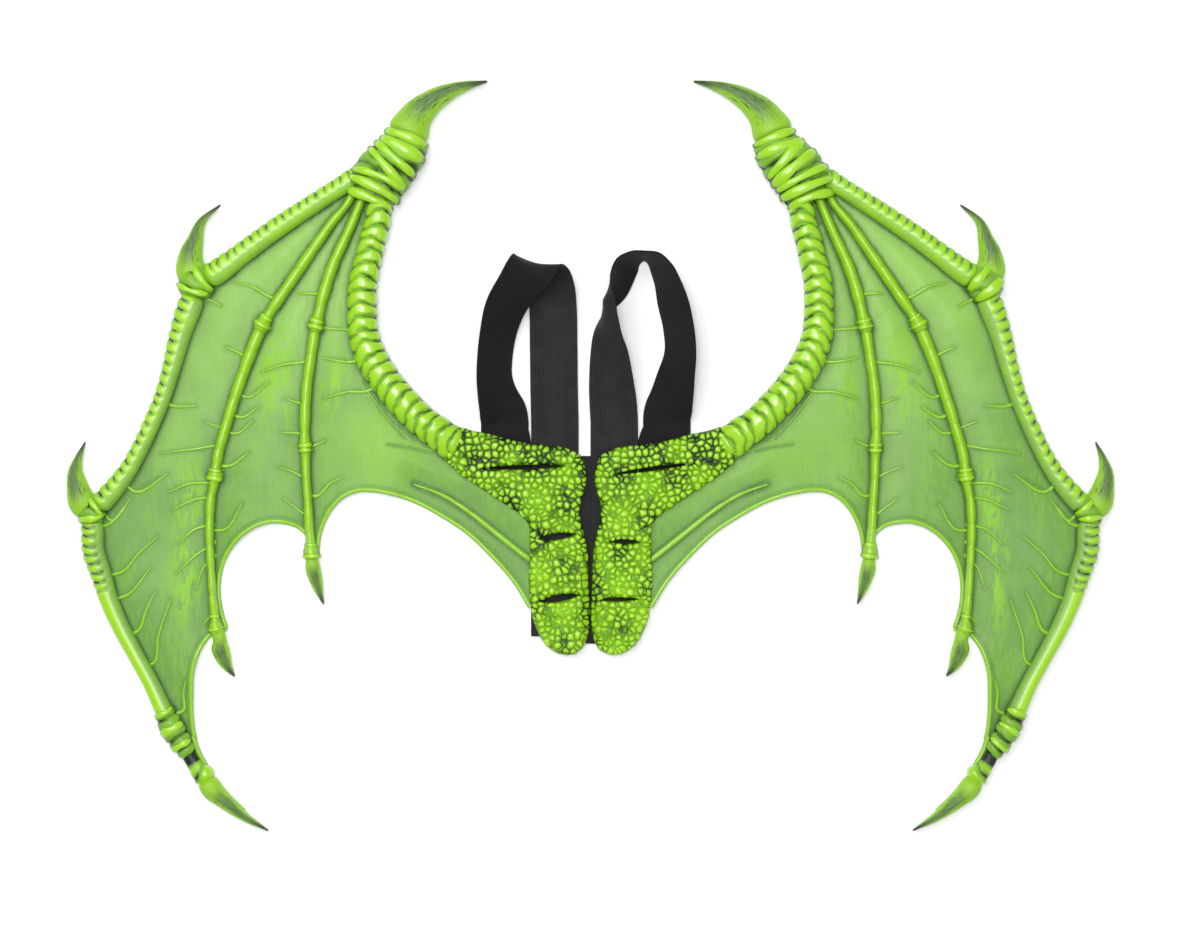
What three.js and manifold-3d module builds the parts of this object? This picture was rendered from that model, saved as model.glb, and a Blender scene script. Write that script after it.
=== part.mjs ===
// A pair of costume dragon wings: moulded latex wings with a black elastic harness.
// Millimetres. +X runs along the span, +Y from the lower claws to the thumb claws, +Z from the harness
// towards the painted face. The pair lies flat on z = 0, with the origin under the middle of its box.
import * as THREE from "three";
import { mergeVertices } from "three/addons/utils/BufferGeometryUtils.js";
import Module from "manifold-3d";

const wasm = await Module();
wasm.setup();

// ---- driving dimensions -------------------------------------------------------------------------
const wingReach = 411; // middle of the harness to the outer spur claw's centreline
const wingStretch = 1; // height of the wing outboard of its pad, against the drawn outline
const skinThickness = 2;
const padThickness = 7.2;
const slitWidth = 3.6;
const strapWidth = 38; // woven elastic
const strapThickness = 1.2;
const hingeLineY = 20; // where the shoulder loops leave the root
const legEndY = -144;
const panelHalfWidth = 33.5;
const panelHeight = 150;
const tackLength = 30;
const tackThickness = 0.7;
const wireDiameter = 3;
const clearance = 0.3; // between pieces that touch

// ---- places -------------------------------------------------------------------------------------
const drawnReach = 411;
const padReach = 119;
const blendReach = 60; // distance over which the height stretch sets in
const limbBase = skinThickness + clearance;
const strapLift = strapThickness + clearance; // the inner strap legs lie on the back panel
const strapMiddle = strapLift + strapThickness / 2;
const tackLift = strapLift + strapThickness + clearance;
const padBack = tackLift + tackThickness + clearance; // the pads' back faces clear the tacks
const skinRootThickness = padBack - clearance; // the skin's thick edge under the pad
const lobeEdge = 48.6; // outer edge of the pad's lower lobe
const innerLegEdge = lobeEdge - 1.1;
const skinRootEdge = innerLegEdge + 0.4;

// ---- materials ----------------------------------------------------------------------------------
const paint = (name, color, roughness, metalness = 0) => {
  const material = new THREE.MeshStandardMaterial({ color, roughness, metalness });
  material.name = name;
  return material;
};
const limeLatex = () => paint("lime_latex", 0x8fc81e, 0.5);
const skinLatex = () => paint("skin_latex", 0x8fbd66, 0.55);
const clawLatex = () => paint("claw_latex", 0x7fb02a, 0.45);
const blackElastic = () => paint("black_elastic", 0x232323, 0.9);
const blackThread = () => paint("black_thread", 0x161616, 0.8);
const softWire = () => paint("soft_wire", 0xb4b6b8, 0.35, 0.9);

// ---- geometry helpers ---------------------------------------------------------------------------
// A drawn point of the outline, moved to where the wing's reach and height put it.
function spread(x, y) {
  const outboard = Math.max(x - padReach, 0);
  const wide = (wingReach - padReach) / (drawnReach - padReach);
  const tall = 1 + (wingStretch - 1) * Math.min(outboard / blendReach, 1);
  return [Math.min(x, padReach) + outboard * wide, y * tall];
}

function signedVolume(positions, index) {
  const [a, b, c] = [new THREE.Vector3(), new THREE.Vector3(), new THREE.Vector3()];
  let volume = 0;
  for (let i = 0; i < index.length; i += 3) {
    a.fromArray(positions, index[i] * 3);
    b.fromArray(positions, index[i + 1] * 3);
    c.fromArray(positions, index[i + 2] * 3);
    volume += a.dot(b.cross(c)) / 6;
  }
  return volume;
}

function closedGeometry(positions, index) {
  if (signedVolume(positions, index) < 0)
    for (let i = 0; i < index.length; i += 3) [index[i], index[i + 1]] = [index[i + 1], index[i]];
  const geometry = new THREE.BufferGeometry();
  geometry.setAttribute("position", new THREE.Float32BufferAttribute(positions, 3));
  geometry.setIndex(index);
  return geometry;
}

// Joins equal rings of [x, y, z] points into one closed skin; ends are filled as flat faces.
function loft(rings, endFaces) {
  const count = rings[0].length;
  const last = (rings.length - 1) * count;
  const index = [];
  for (let r = 0; r < rings.length - 1; r++)
    for (let i = 0; i < count; i++) {
      const [a, b] = [r * count + i, r * count + ((i + 1) % count)];
      index.push(a, b, a + count, b, b + count, a + count);
    }
  for (const [i, j, k] of endFaces) index.push(i, k, j, last + i, last + j, last + k);
  return closedGeometry(rings.flat(2), index);
}

const fan = (count) => Array.from({ length: count - 2 }, (_, i) => [0, i + 1, i + 2]);

// Half-width and height shares of a limb's section: a flat back with a rounded face.
const limbSection = [
  [1, 0],
  [1, 0.4],
  [0.72, 0.82],
  [0.28, 1],
  [-0.28, 1],
  [-0.72, 0.82],
  [-1, 0.4],
  [-1, 0],
];

// A limb lying on the skin. Each station is [x, y, half width, height, lift off the skin].
function limb(stations, grow = 0) {
  const centres = stations.map(([x, y]) => new THREE.Vector2(...spread(x, y)));
  const last = centres.length - 1;
  const rings = stations.map(([, , halfWidth, height, lift = 0], i) => {
    const before = centres[Math.max(i - 1, 0)];
    const along = centres[Math.min(i + 1, last)].clone().sub(before).normalize();
    const end = i === 0 ? -grow : i === last ? grow : 0;
    const middle = centres[i].clone().addScaledVector(along, end);
    return limbSection.map(([side, up]) => [
      middle.x + along.y * side * (halfWidth + grow),
      middle.y - along.x * side * (halfWidth + grow),
      limbBase + lift - grow + up * (height + 2 * grow),
    ]);
  });
  return loft(rings, fan(limbSection.length));
}

// A flat plate between two heights, from a list of [x, y] points.
function plate(points, low, high) {
  const shape = new THREE.Shape(points.map(([x, y]) => new THREE.Vector2(x, y)));
  const geometry = new THREE.ExtrudeGeometry(shape, { depth: high - low, bevelEnabled: false });
  return geometry.translate(0, 0, low);
}

function toSolid(geometry) {
  const bare = geometry.clone();
  bare.deleteAttribute("normal");
  bare.deleteAttribute("uv");
  const merged = mergeVertices(bare, 1e-4);
  const mesh = new wasm.Mesh({
    numProp: 3,
    vertProperties: new Float32Array(merged.getAttribute("position").array),
    triVerts: new Uint32Array(merged.index.array),
  });
  return new wasm.Manifold(mesh);
}

function toGeometry(solid) {
  const mesh = solid.getMesh();
  const geometry = new THREE.BufferGeometry();
  geometry.setAttribute("position", new THREE.BufferAttribute(mesh.vertProperties, 3));
  geometry.setIndex(new THREE.BufferAttribute(mesh.triVerts, 1));
  return geometry;
}

// The largest piece of a geometry after the cutters are taken out of it.
function trimmed(geometry, ...cutters) {
  let solid = toSolid(geometry);
  for (const cutter of cutters) solid = solid.subtract(toSolid(cutter));
  const pieces = solid.decompose().sort((a, b) => b.volume() - a.volume());
  return toGeometry(pieces[0]);
}

// A strap: stations of [x, y, z, width direction], joined smoothly, with half-round hinge ends.
function strap(route, steps, roundedEnds = false) {
  const curveOf = (pick) => new THREE.CatmullRomCurve3(route.map(pick), false, "centripetal");
  const centre = curveOf(([x, y, z]) => new THREE.Vector3(x, y, z));
  const edge = curveOf(([, , , wx, wy, wz]) => new THREE.Vector3(wx, wy, wz).multiplyScalar(10));
  const stations = [];
  for (let i = 0; i <= steps; i++) {
    const along = centre.getTangent(i / steps);
    const wide = edge.getPoint(i / steps);
    wide.addScaledVector(along, -wide.dot(along)).setLength(strapWidth / 2);
    stations.push({ at: centre.getPoint(i / steps), along, wide, half: strapThickness / 2 });
  }
  if (roundedEnds)
    for (const [end, outward] of [[stations[0], -1], [stations[stations.length - 1], 1]]) {
      const round = [0.5, 0.87].map((share) => ({
        ...end,
        at: end.at.clone().addScaledVector(end.along, (outward * share * strapThickness) / 2),
        half: (Math.sqrt(1 - share * share) * strapThickness) / 2,
      }));
      if (outward < 0) stations.unshift(...round.reverse());
      else stations.push(...round);
    }
  const rings = stations.map(({ at, along, wide, half }) => {
    const thick = new THREE.Vector3().crossVectors(along, wide).setLength(half);
    return [[1, 1], [1, -1], [-1, -1], [-1, 1]].map(([w, t]) =>
      at.clone().addScaledVector(wide, w).addScaledVector(thick, t).toArray(),
    );
  });
  return loft(rings, fan(4));
}

// ---- limbs of one wing, drawn for the side of +X ------------------------------------------------
const limbs = {
  arm: [
    [103, 6, 12, 9], [113, 12, 14, 13], [120, 17.5, 13.5, 15.5], [132, 26, 13, 17], [144.5, 38, 13, 17],
    [157.5, 52.5, 13, 17], [168, 67, 13, 17], [176, 81.5, 13, 17], [180.5, 95, 12.5, 17],
    [182, 117.5, 12, 16.5], [181, 140, 11.5, 16], [177, 157.5, 11, 16], [174, 171.5, 11, 16],
    [170, 185, 10.5, 16], [168, 200, 10.5, 16], [166, 214, 10.5, 16],
  ],
  wristWrap: [
    [177, 202, 18, 15], [174, 209, 22, 19], [168, 221, 23, 22], [158, 233, 22, 23],
    [150, 244, 20, 22], [146, 254, 18, 20], [144, 261, 16.5, 17],
  ],
  thumbClaw: [
    [149, 250, 15, 14], [146, 257, 16.5, 16], [138, 272, 13, 14.5], [127.5, 282, 10, 12.5, 0.7],
    [111.5, 291, 6.5, 9.5, 1.7], [97, 295.8, 3.5, 6, 2.7], [82, 298.8, 0.8, 2, 3.7],
  ],
  leadingBone1: [
    [184, 225, 9, 11], [197.5, 216.5, 8, 12], [225, 199, 8, 12], [255, 179, 8.5, 12],
    [280, 160.5, 9, 12.5], [298, 147, 10, 13], [308, 141, 10, 13],
  ],
  knuckle1: [
    [302, 146.5, 9.5, 11], [307.5, 143, 13, 14.5], [313.5, 138, 14.5, 16],
    [317.5, 131, 13.5, 15], [320, 124, 9.5, 11],
  ],
  spurClaw1: [
    [314, 137, 10, 11], [319, 149, 12, 12], [319, 160, 9.5, 11.5], [316, 170.5, 7, 10, 0.7],
    [310.5, 186.5, 3.5, 7, 1.7], [295, 200.5, 0.6, 2, 3.2],
  ],
  leadingBone2: [
    [316, 130, 9.5, 11], [318.5, 123.5, 10, 12], [327.5, 97.5, 9, 11.5], [335, 69, 7.5, 11],
    [341.5, 47.5, 7, 10.5], [349.5, 28, 7, 10.5], [359, 7.5, 7, 10.5], [369.5, -11.5, 7.5, 11],
    [382, -28, 8.5, 12], [394, -41, 9, 12],
  ],
  knuckle2: [
    [388.5, -35, 8.5, 11], [393.5, -40, 10.5, 13.5], [397, -45, 10.5, 14],
    [398.5, -52, 9.5, 12.5], [398.5, -58, 8.5, 10.5],
  ],
  spurClaw2: [
    [399, -47, 9, 10], [406, -36, 11, 12], [409.5, -24, 8.5, 11], [411, -12.5, 6, 9, 0.7],
    [408.5, -1.5, 3, 6.5, 1.7], [403, 11.5, 0.6, 2, 3.2],
  ],
  leadingBone3: [
    [398.5, -50, 8.5, 10.5], [397.5, -60, 9, 11.5], [397, -74, 9, 11.5], [390.5, -95, 8.5, 11],
    [384.5, -114, 7.5, 10.5], [375, -136, 7, 10], [363, -158.5, 6.5, 10], [350.5, -181.5, 6.5, 10],
    [340.5, -203, 7, 10.5], [336, -212, 7, 10.5],
  ],
  tipWrap: [
    [341.5, -200.5, 7.5, 11], [337, -210.5, 9.5, 12.5], [331, -222, 9.5, 12.5],
    [325, -231.5, 8.5, 11.5], [319.5, -240.5, 6, 9],
  ],
  tipBall: [
    [322, -236, 4, 7], [316, -246.5, 4.2, 7], [312.5, -250.5, 7.5, 10],
    [308.5, -255, 9, 11.5], [304.5, -260, 8, 10.5],
  ],
  tipClaw: [
    [307.5, -256.5, 7.5, 9.5], [303, -264.5, 8.5, 11], [291.5, -275.5, 6.5, 9.5, 0.5],
    [276.5, -287.5, 3.8, 6.5, 1.5], [257, -299, 0.6, 2, 3],
  ],
  innerFingerUpper: [
    [179.5, 213, 4, 8], [183.5, 202.5, 4, 8], [194, 177.5, 4.5, 8.5], [205.5, 152.5, 5, 9],
    [213.5, 127.5, 5.2, 9], [217.5, 110.5, 5, 9], [219, 104, 6.5, 10.5], [220.5, 97, 5, 9],
  ],
  innerFingerLower: [
    [219.8, 101, 4.8, 8.5], [223, 80, 4.6, 8.5], [226.5, 55, 4.6, 8.5], [228, 30, 4.8, 8.5],
    [228, 14, 4.5, 8.5], [227.5, 6.5, 5.5, 9.5], [227.3, -1, 4.3, 8], [227, -15, 4, 8],
    [225.5, -37.5, 4, 8], [224.5, -57.5, 4.3, 8], [223.4, -70, 4.5, 8], [223, -75, 6.5, 9.5],
    [222, -84, 6.5, 9.5],
  ],
  innerFingerClaw: [
    [222.6, -79, 4.2, 7], [221.5, -90, 6, 9], [219.5, -98, 5.5, 8.5], [217, -107, 3.6, 6.5, 0.8],
    [213, -118.5, 0.6, 2, 2.4],
  ],
  outerFingerUpper: [
    [188, 214, 3.6, 8], [192.5, 204, 3.5, 8], [207.5, 185, 4.2, 8.5], [222.5, 163.5, 4.8, 9],
    [237.5, 141.5, 5, 9], [250.5, 122.5, 5, 9], [258.5, 110.5, 5, 9], [261.5, 105.5, 7, 11],
    [265, 97.5, 5.5, 9.5],
  ],
  outerFingerLower: [
    [263, 102, 5.3, 9], [269.5, 87, 5.5, 9.3], [278, 64, 5, 9], [285.5, 41.5, 5, 9], [292, 20, 4.6, 9],
    [297.5, 0, 4.8, 9], [298.8, -9, 4.6, 9], [299.5, -15, 7, 10.5], [300.5, -22, 4.5, 9],
    [303, -35, 4.2, 8.5], [304, -55, 4, 8.5], [303.5, -77.5, 3.8, 8], [302.5, -97.5, 3.6, 8],
    [301, -117.5, 4, 8], [299.5, -131, 4.6, 8], [299, -136.5, 6.5, 9.5], [297, -143, 6.5, 9.5],
  ],
  outerFingerClaw: [
    [298, -138, 4, 6.5], [295.5, -149, 4, 6.5], [296, -153, 7, 9.5], [293, -161, 6.2, 9],
    [289.5, -168.5, 3.8, 7, 0.8], [284, -176, 0.6, 2, 2.4],
  ],
  rootTendon: [
    [47, -84, 3, 4], [60, -74, 3, 4], [80, -58, 2.8, 3.8], [100, -42.5, 2.5, 3.5],
    [120, -30.5, 2, 3], [142, -22.5, 1, 2],
  ],
};

// Wires run in a channel in the back of the limbs, on these centrelines.
const wireRoutes = {
  armWire: [
    [117, 15.5], [132, 26], [144.5, 38], [157.5, 52.5], [168, 67], [176, 81.5], [180.5, 95],
    [182, 117.5], [181, 140], [177, 157.5], [174, 171.5], [170, 185], [168, 200], [166, 214], [160, 228],
  ],
  leadingWire: [
    [186, 223.7], [197.5, 216.5], [225, 199], [255, 179], [280, 160.5], [298, 147.5], [309, 140],
    [315.5, 132], [318.5, 123.5], [327.5, 97.5], [335, 69], [341.5, 47.5], [349.5, 28], [359, 7.5],
    [369.5, -11.5], [382, -28], [393.5, -41], [397.7, -50], [397.6, -62], [396, -76], [390.5, -95],
    [384.5, -114], [375, -136], [363, -158.5], [350.5, -181.5], [340.5, -203], [335, -214],
  ],
};

// ---- skin ---------------------------------------------------------------------------------------
const skinTuck = 1.5; // the skin stops this far inside a limb's outer edge

// A limb's edge on one side, from one station to another: side 1 is to the right of its direction.
function limbEdge(stations, side, from, to) {
  const edge = [];
  for (let i = from; i <= to; i++) {
    const [x, y, halfWidth] = stations[i];
    const [xa, ya] = stations[Math.max(i - 1, 0)];
    const [xb, yb] = stations[Math.min(i + 1, stations.length - 1)];
    const length = Math.hypot(xb - xa, yb - ya);
    const out = (side * (halfWidth - skinTuck)) / length;
    edge.push([x + (yb - ya) * out, y - (xb - xa) * out]);
  }
  return edge;
}

// The free lower edge: three hollow curves hung between the pad, the two fingers and the tip.
const freeEdge = [
  [316, -227], [317.5, -220], [319, -205], [319, -190], [318.5, -175], [315.5, -161.5], [310.5, -150.5],
  [304.5, -143], [291.5, -137], [293.5, -131], [296.5, -118.5], [297.5, -105], [296, -92.5], [292, -80.5],
  [285, -69.5], [275, -60], [265, -54.5], [255, -52], [245, -52.5], [235, -55.5], [227, -62],
  [218.5, -74], [217.5, -66], [214, -54], [207.5, -42], [197.5, -32], [187, -27.5], [175, -27],
  [160, -29.5], [140, -36], [120, -46.5], [100, -59.5], [80, -78], [60, -101],
];

// The thick edge that the pad is bonded to: inner line under the pad, outer line clear of it.
const rootInner = [
  [skinRootEdge, -118], [skinRootEdge, -58], [54, -45], [64, -37.5], [73, -33], [82, -26], [95, -17], [106, -8],
];
const rootOuter = [
  [118, -5], [109, -15], [97, -25], [82, -35], [67, -45], [57, -53], [52.5, -62], [52.5, -112],
];

function wingSkin() {
  const outline = [
    ...rootInner,
    ...limbEdge(limbs.arm, -1, 1, 14),
    ...limbEdge(limbs.wristWrap, -1, 1, 2),
    [172, 236],
    [184, 230],
    ...limbEdge(limbs.leadingBone1, -1, 1, 5),
    ...limbEdge(limbs.knuckle1, -1, 1, 3),
    ...limbEdge(limbs.leadingBone2, -1, 1, 8),
    ...limbEdge(limbs.knuckle2, -1, 1, 3),
    ...limbEdge(limbs.leadingBone3, -1, 1, 8),
    ...limbEdge(limbs.tipWrap, -1, 1, 3),
    ...freeEdge,
  ].map(([x, y]) => spread(x, y));
  const thickEdge = [...rootInner, ...rootOuter];
  const skin = toSolid(plate(outline, 0, skinThickness));
  return toGeometry(skin.add(toSolid(plate(thickEdge, 0, skinRootThickness))));
}

// ---- root pad -----------------------------------------------------------------------------------
const padOutline = [
  [8, 1], [4.5, -8], [3, -15], [4, -25], [6.5, -33], [8.5, -42], [8, -50], [5.5, -60], [2.5, -75],
  [1.5, -100], [1.5, -140], [4, -150], [10, -156.5], [17.5, -159], [27.5, -157], [35.5, -151],
  [42, -141], [46.5, -128], [lobeEdge, -115], [lobeEdge, -66], [49, -57], [53, -50], [65, -41],
  [80, -31], [95, -21], [107, -12], [116, -3], [119, 2], [115, 14], [104, 23], [95, 20.5], [80, 17.5],
  [60, 12], [40, 9], [20, 6.5],
];
const slits = [
  [20, -10.5, 85, -7.5],
  [11.5, -64, 39, -66.5],
  [8, -112.5, 39.5, -115],
];
// The pad's rounded rim: how far in from the outline, and what share of the pad's height.
const padRim = [
  [0, 0],
  [1.2, 0.32],
  [4, 0.72],
  [8.5, 1],
];

function insetOutline(points, distance) {
  const turn = Math.sign(THREE.ShapeUtils.area(points.map(([x, y]) => new THREE.Vector2(x, y))));
  return points.map(([x, y], i) => {
    const [xa, ya] = points[(i + points.length - 1) % points.length];
    const [xb, yb] = points[(i + 1) % points.length];
    const [before, after] = [Math.hypot(x - xa, y - ya), Math.hypot(xb - x, yb - y)];
    const normal = new THREE.Vector2(
      -(y - ya) / before - (yb - y) / after,
      (x - xa) / before + (xb - x) / after,
    );
    normal.setLength(distance * turn);
    return [x + normal.x, y + normal.y];
  });
}

function slitCutter([x1, y1, x2, y2]) {
  const middle = [(x1 + x2) / 2, (y1 + y2) / 2];
  const share = slitWidth / 2;
  const points = [
    [x1, y1], [(x1 + middle[0]) / 2, (y1 + middle[1]) / 2 - share * 0.8], [middle[0], middle[1] - share],
    [(x2 + middle[0]) / 2, (y2 + middle[1]) / 2 - share * 0.8], [x2, y2],
    [(x2 + middle[0]) / 2, (y2 + middle[1]) / 2 + share * 0.8], [middle[0], middle[1] + share],
    [(x1 + middle[0]) / 2, (y1 + middle[1]) / 2 + share * 0.8],
  ];
  return plate(points, padBack - 1, padBack + padThickness + 1);
}

function domedPlate(grow = 0) {
  const rings = padRim.map(([inset, share]) =>
    insetOutline(padOutline, inset - grow).map(([x, y]) => [x, y, padBack + padThickness * share]),
  );
  for (const point of rings[0]) point[2] -= grow;
  const flat = padOutline.map(([x, y]) => new THREE.Vector2(x, y));
  const inner = insetOutline(padOutline, padRim[3][0] - grow).map(([x, y]) => new THREE.Vector2(x, y));
  const count = flat.length;
  const last = (rings.length - 1) * count;
  const index = [];
  for (let r = 0; r < rings.length - 1; r++)
    for (let i = 0; i < count; i++) {
      const [a, b] = [r * count + i, r * count + ((i + 1) % count)];
      index.push(a, b, b + count, a, b + count, a + count);
    }
  for (const [i, j, k] of THREE.ShapeUtils.triangulateShape(flat, [])) index.push(i, k, j);
  for (const [i, j, k] of THREE.ShapeUtils.triangulateShape(inner, []))
    index.push(last + i, last + j, last + k);
  return closedGeometry(rings.flat(2), index);
}

// ---- wires --------------------------------------------------------------------------------------
const wireMiddle = limbBase + clearance + wireDiameter / 2;

function wire(route) {
  const radius = wireDiameter / 2;
  const centres = route.map(([x, y]) => new THREE.Vector2(...spread(x, y)));
  const rings = centres.map((at, i) => {
    const before = centres[Math.max(i - 1, 0)];
    const along = centres[Math.min(i + 1, centres.length - 1)].clone().sub(before).normalize();
    return Array.from({ length: 6 }, (_, k) => {
      const angle = ((k + 0.5) * Math.PI) / 3;
      const side = Math.cos(angle) * radius;
      return [at.x + along.y * side, at.y - along.x * side, wireMiddle + Math.sin(angle) * radius];
    });
  });
  return loft(rings, fan(6));
}

// The channel that a wire lies in, open at the back of the limb.
function wireChannel(route) {
  const half = wireDiameter / 2 + clearance;
  const centres = route.map(([x, y]) => new THREE.Vector2(...spread(x, y)));
  const rings = centres.map((at, i) => {
    const last = centres.length - 1;
    const before = centres[Math.max(i - 1, 0)];
    const along = centres[Math.min(i + 1, last)].clone().sub(before).normalize();
    const end = i === 0 ? -clearance : i === last ? clearance : 0;
    const middle = at.clone().addScaledVector(along, end);
    return [[-1, skinThickness], [1, skinThickness], [1, wireMiddle + half], [-1, wireMiddle + half]].map(
      ([side, z]) => [middle.x + along.y * side * half, middle.y - along.x * side * half, z],
    );
  });
  return loft(rings, fan(4));
}

// ---- one wing -----------------------------------------------------------------------------------
function wingPieces() {
  const shape = (name) => limb(limbs[name]);
  const round = (name) => limb(limbs[name], clearance);
  const pad = slits.reduce((made, slit) => trimmed(made, slitCutter(slit)), domedPlate());
  const padRoom = domedPlate(clearance);
  const thickEdgeRoom = plate(
    insetOutline([...rootInner, ...rootOuter], -clearance),
    -clearance,
    skinRootThickness + clearance,
  );
  const armChannel = wireChannel(wireRoutes.armWire);
  const leadingChannel = wireChannel(wireRoutes.leadingWire);
  return {
    root_pad: [pad, limeLatex],
    wing_skin: [wingSkin(), skinLatex],
    root_tendon: [trimmed(shape("rootTendon"), padRoom, thickEdgeRoom), limeLatex],
    arm: [trimmed(shape("arm"), padRoom, thickEdgeRoom, round("wristWrap"), armChannel), limeLatex],
    wrist_wrap: [trimmed(shape("wristWrap"), armChannel, leadingChannel), limeLatex],
    thumb_claw: [trimmed(shape("thumbClaw"), round("wristWrap")), clawLatex],
    leading_bone_1: [
      trimmed(shape("leadingBone1"), round("wristWrap"), round("knuckle1"), leadingChannel),
      limeLatex,
    ],
    knuckle_1: [trimmed(shape("knuckle1"), leadingChannel), limeLatex],
    spur_claw_1: [
      trimmed(shape("spurClaw1"), round("knuckle1"), round("leadingBone1"), round("leadingBone2")),
      clawLatex,
    ],
    leading_bone_2: [
      trimmed(shape("leadingBone2"), round("knuckle1"), round("knuckle2"), leadingChannel),
      limeLatex,
    ],
    knuckle_2: [trimmed(shape("knuckle2"), leadingChannel), limeLatex],
    spur_claw_2: [
      trimmed(shape("spurClaw2"), round("knuckle2"), round("leadingBone2"), round("leadingBone3")),
      clawLatex,
    ],
    leading_bone_3: [
      trimmed(shape("leadingBone3"), round("knuckle2"), round("tipWrap"), leadingChannel),
      limeLatex,
    ],
    tip_wrap: [trimmed(shape("tipWrap"), leadingChannel), limeLatex],
    tip_ball: [trimmed(shape("tipBall"), round("tipWrap")), limeLatex],
    tip_claw: [trimmed(shape("tipClaw"), round("tipBall")), clawLatex],
    inner_finger_upper: [trimmed(shape("innerFingerUpper"), round("wristWrap"), round("arm")), limeLatex],
    inner_finger_lower: [trimmed(shape("innerFingerLower"), round("innerFingerUpper")), limeLatex],
    inner_finger_claw: [trimmed(shape("innerFingerClaw"), round("innerFingerLower")), clawLatex],
    outer_finger_upper: [
      trimmed(
        shape("outerFingerUpper"),
        round("wristWrap"),
        round("innerFingerUpper"),
        round("leadingBone1"),
      ),
      limeLatex,
    ],
    outer_finger_lower: [trimmed(shape("outerFingerLower"), round("outerFingerUpper")), limeLatex],
    outer_finger_claw: [trimmed(shape("outerFingerClaw"), round("outerFingerLower")), clawLatex],
    arm_wire: [wire(wireRoutes.armWire), softWire],
    leading_wire: [wire(wireRoutes.leadingWire), softWire],
  };
}

const part = new THREE.Group();

const pieces = wingPieces();
for (const [side, direction] of [["left", -1], ["right", 1]]) {
  const wing = new THREE.Group();
  wing.scale.x = direction;
  for (const [name, [geometry, material]] of Object.entries(pieces)) {
    const mesh = new THREE.Mesh(geometry, material());
    mesh.name = `${side}_${name}`;
    wing.add(mesh);
  }
  part.add(wing);
}

// ---- harness ------------------------------------------------------------------------------------
const harness = new THREE.Group();
part.add(harness);

function addPiece(name, geometry, material) {
  const mesh = new THREE.Mesh(geometry, material());
  mesh.name = name;
  harness.add(mesh);
  return mesh;
}

const panel = new THREE.BoxGeometry(2 * panelHalfWidth, panelHeight, strapThickness);
addPiece("back_panel", panel, blackElastic).position.set(0, -panelHeight / 2, strapThickness / 2);

// The middle of each inner leg; the left one shows past its pad, the right one reaches the middle line.
const innerLegX = { left: -(innerLegEdge - strapWidth / 2), right: strapWidth / 2 };
const outerLegX = { left: -(innerLegEdge + 2 + strapWidth / 2), right: strapWidth * 1.5 + 4 };
const outerLegEndX = panelHalfWidth + 0.5 + strapWidth / 2;
const outerLegLow = strapThickness / 2 + clearance / 2; // middle of the leg beside the back panel
const outerLegLength = 83 - strapWidth; // a wider leg ends sooner, so that it stays under the pad
const legTopY = hingeLineY - strapThickness / 2 - clearance;
const legLength = legTopY - legEndY;

for (const side of ["left", "right"]) {
  const sign = side === "left" ? -1 : 1;
  const leg = new THREE.BoxGeometry(strapWidth, legLength, strapThickness);
  addPiece(`${side}_inner_strap_leg`, leg, blackElastic).position.set(
    innerLegX[side],
    legTopY - legLength / 2,
    strapMiddle,
  );
  const drop = strapMiddle - outerLegLow;
  const outerRoute = [
    [outerLegX[side], legTopY, strapMiddle, 1, 0, 0],
    [outerLegX[side], legTopY - 1.5, strapMiddle, 1, 0, 0],
    [outerLegX[side], legTopY - 5, strapMiddle - drop * 0.48, 1, 0, 0],
    [outerLegX[side], legTopY - 9, strapMiddle - drop * 0.89, 1, 0, 0],
    [outerLegX[side] - sign, legTopY - 13, outerLegLow, 1, 0, 0],
    [sign * (outerLegEndX + 4), legTopY - outerLegLength * 0.8, outerLegLow, 1, 0, 0],
    [sign * outerLegEndX, legTopY - outerLegLength, outerLegLow, 1, 0, 0],
  ];
  addPiece(`${side}_outer_strap_leg`, strap(outerRoute, 14), blackElastic);
  for (const [place, y] of [["upper", -30], ["lower", legEndY + 8]]) {
    const tack = new THREE.BoxGeometry(tackLength, 3, tackThickness);
    addPiece(`${side}_${place}_bar_tack`, tack, blackThread).position.set(
      innerLegX[side],
      y,
      tackLift + tackThickness / 2,
    );
  }
}

// A loop starts and ends flat, square to the hinge line.
const hingeEnd = (x) => [0, 3, 6].map((run) => [x, hingeLineY + run, strapMiddle, 1, 0, 0]);

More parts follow.
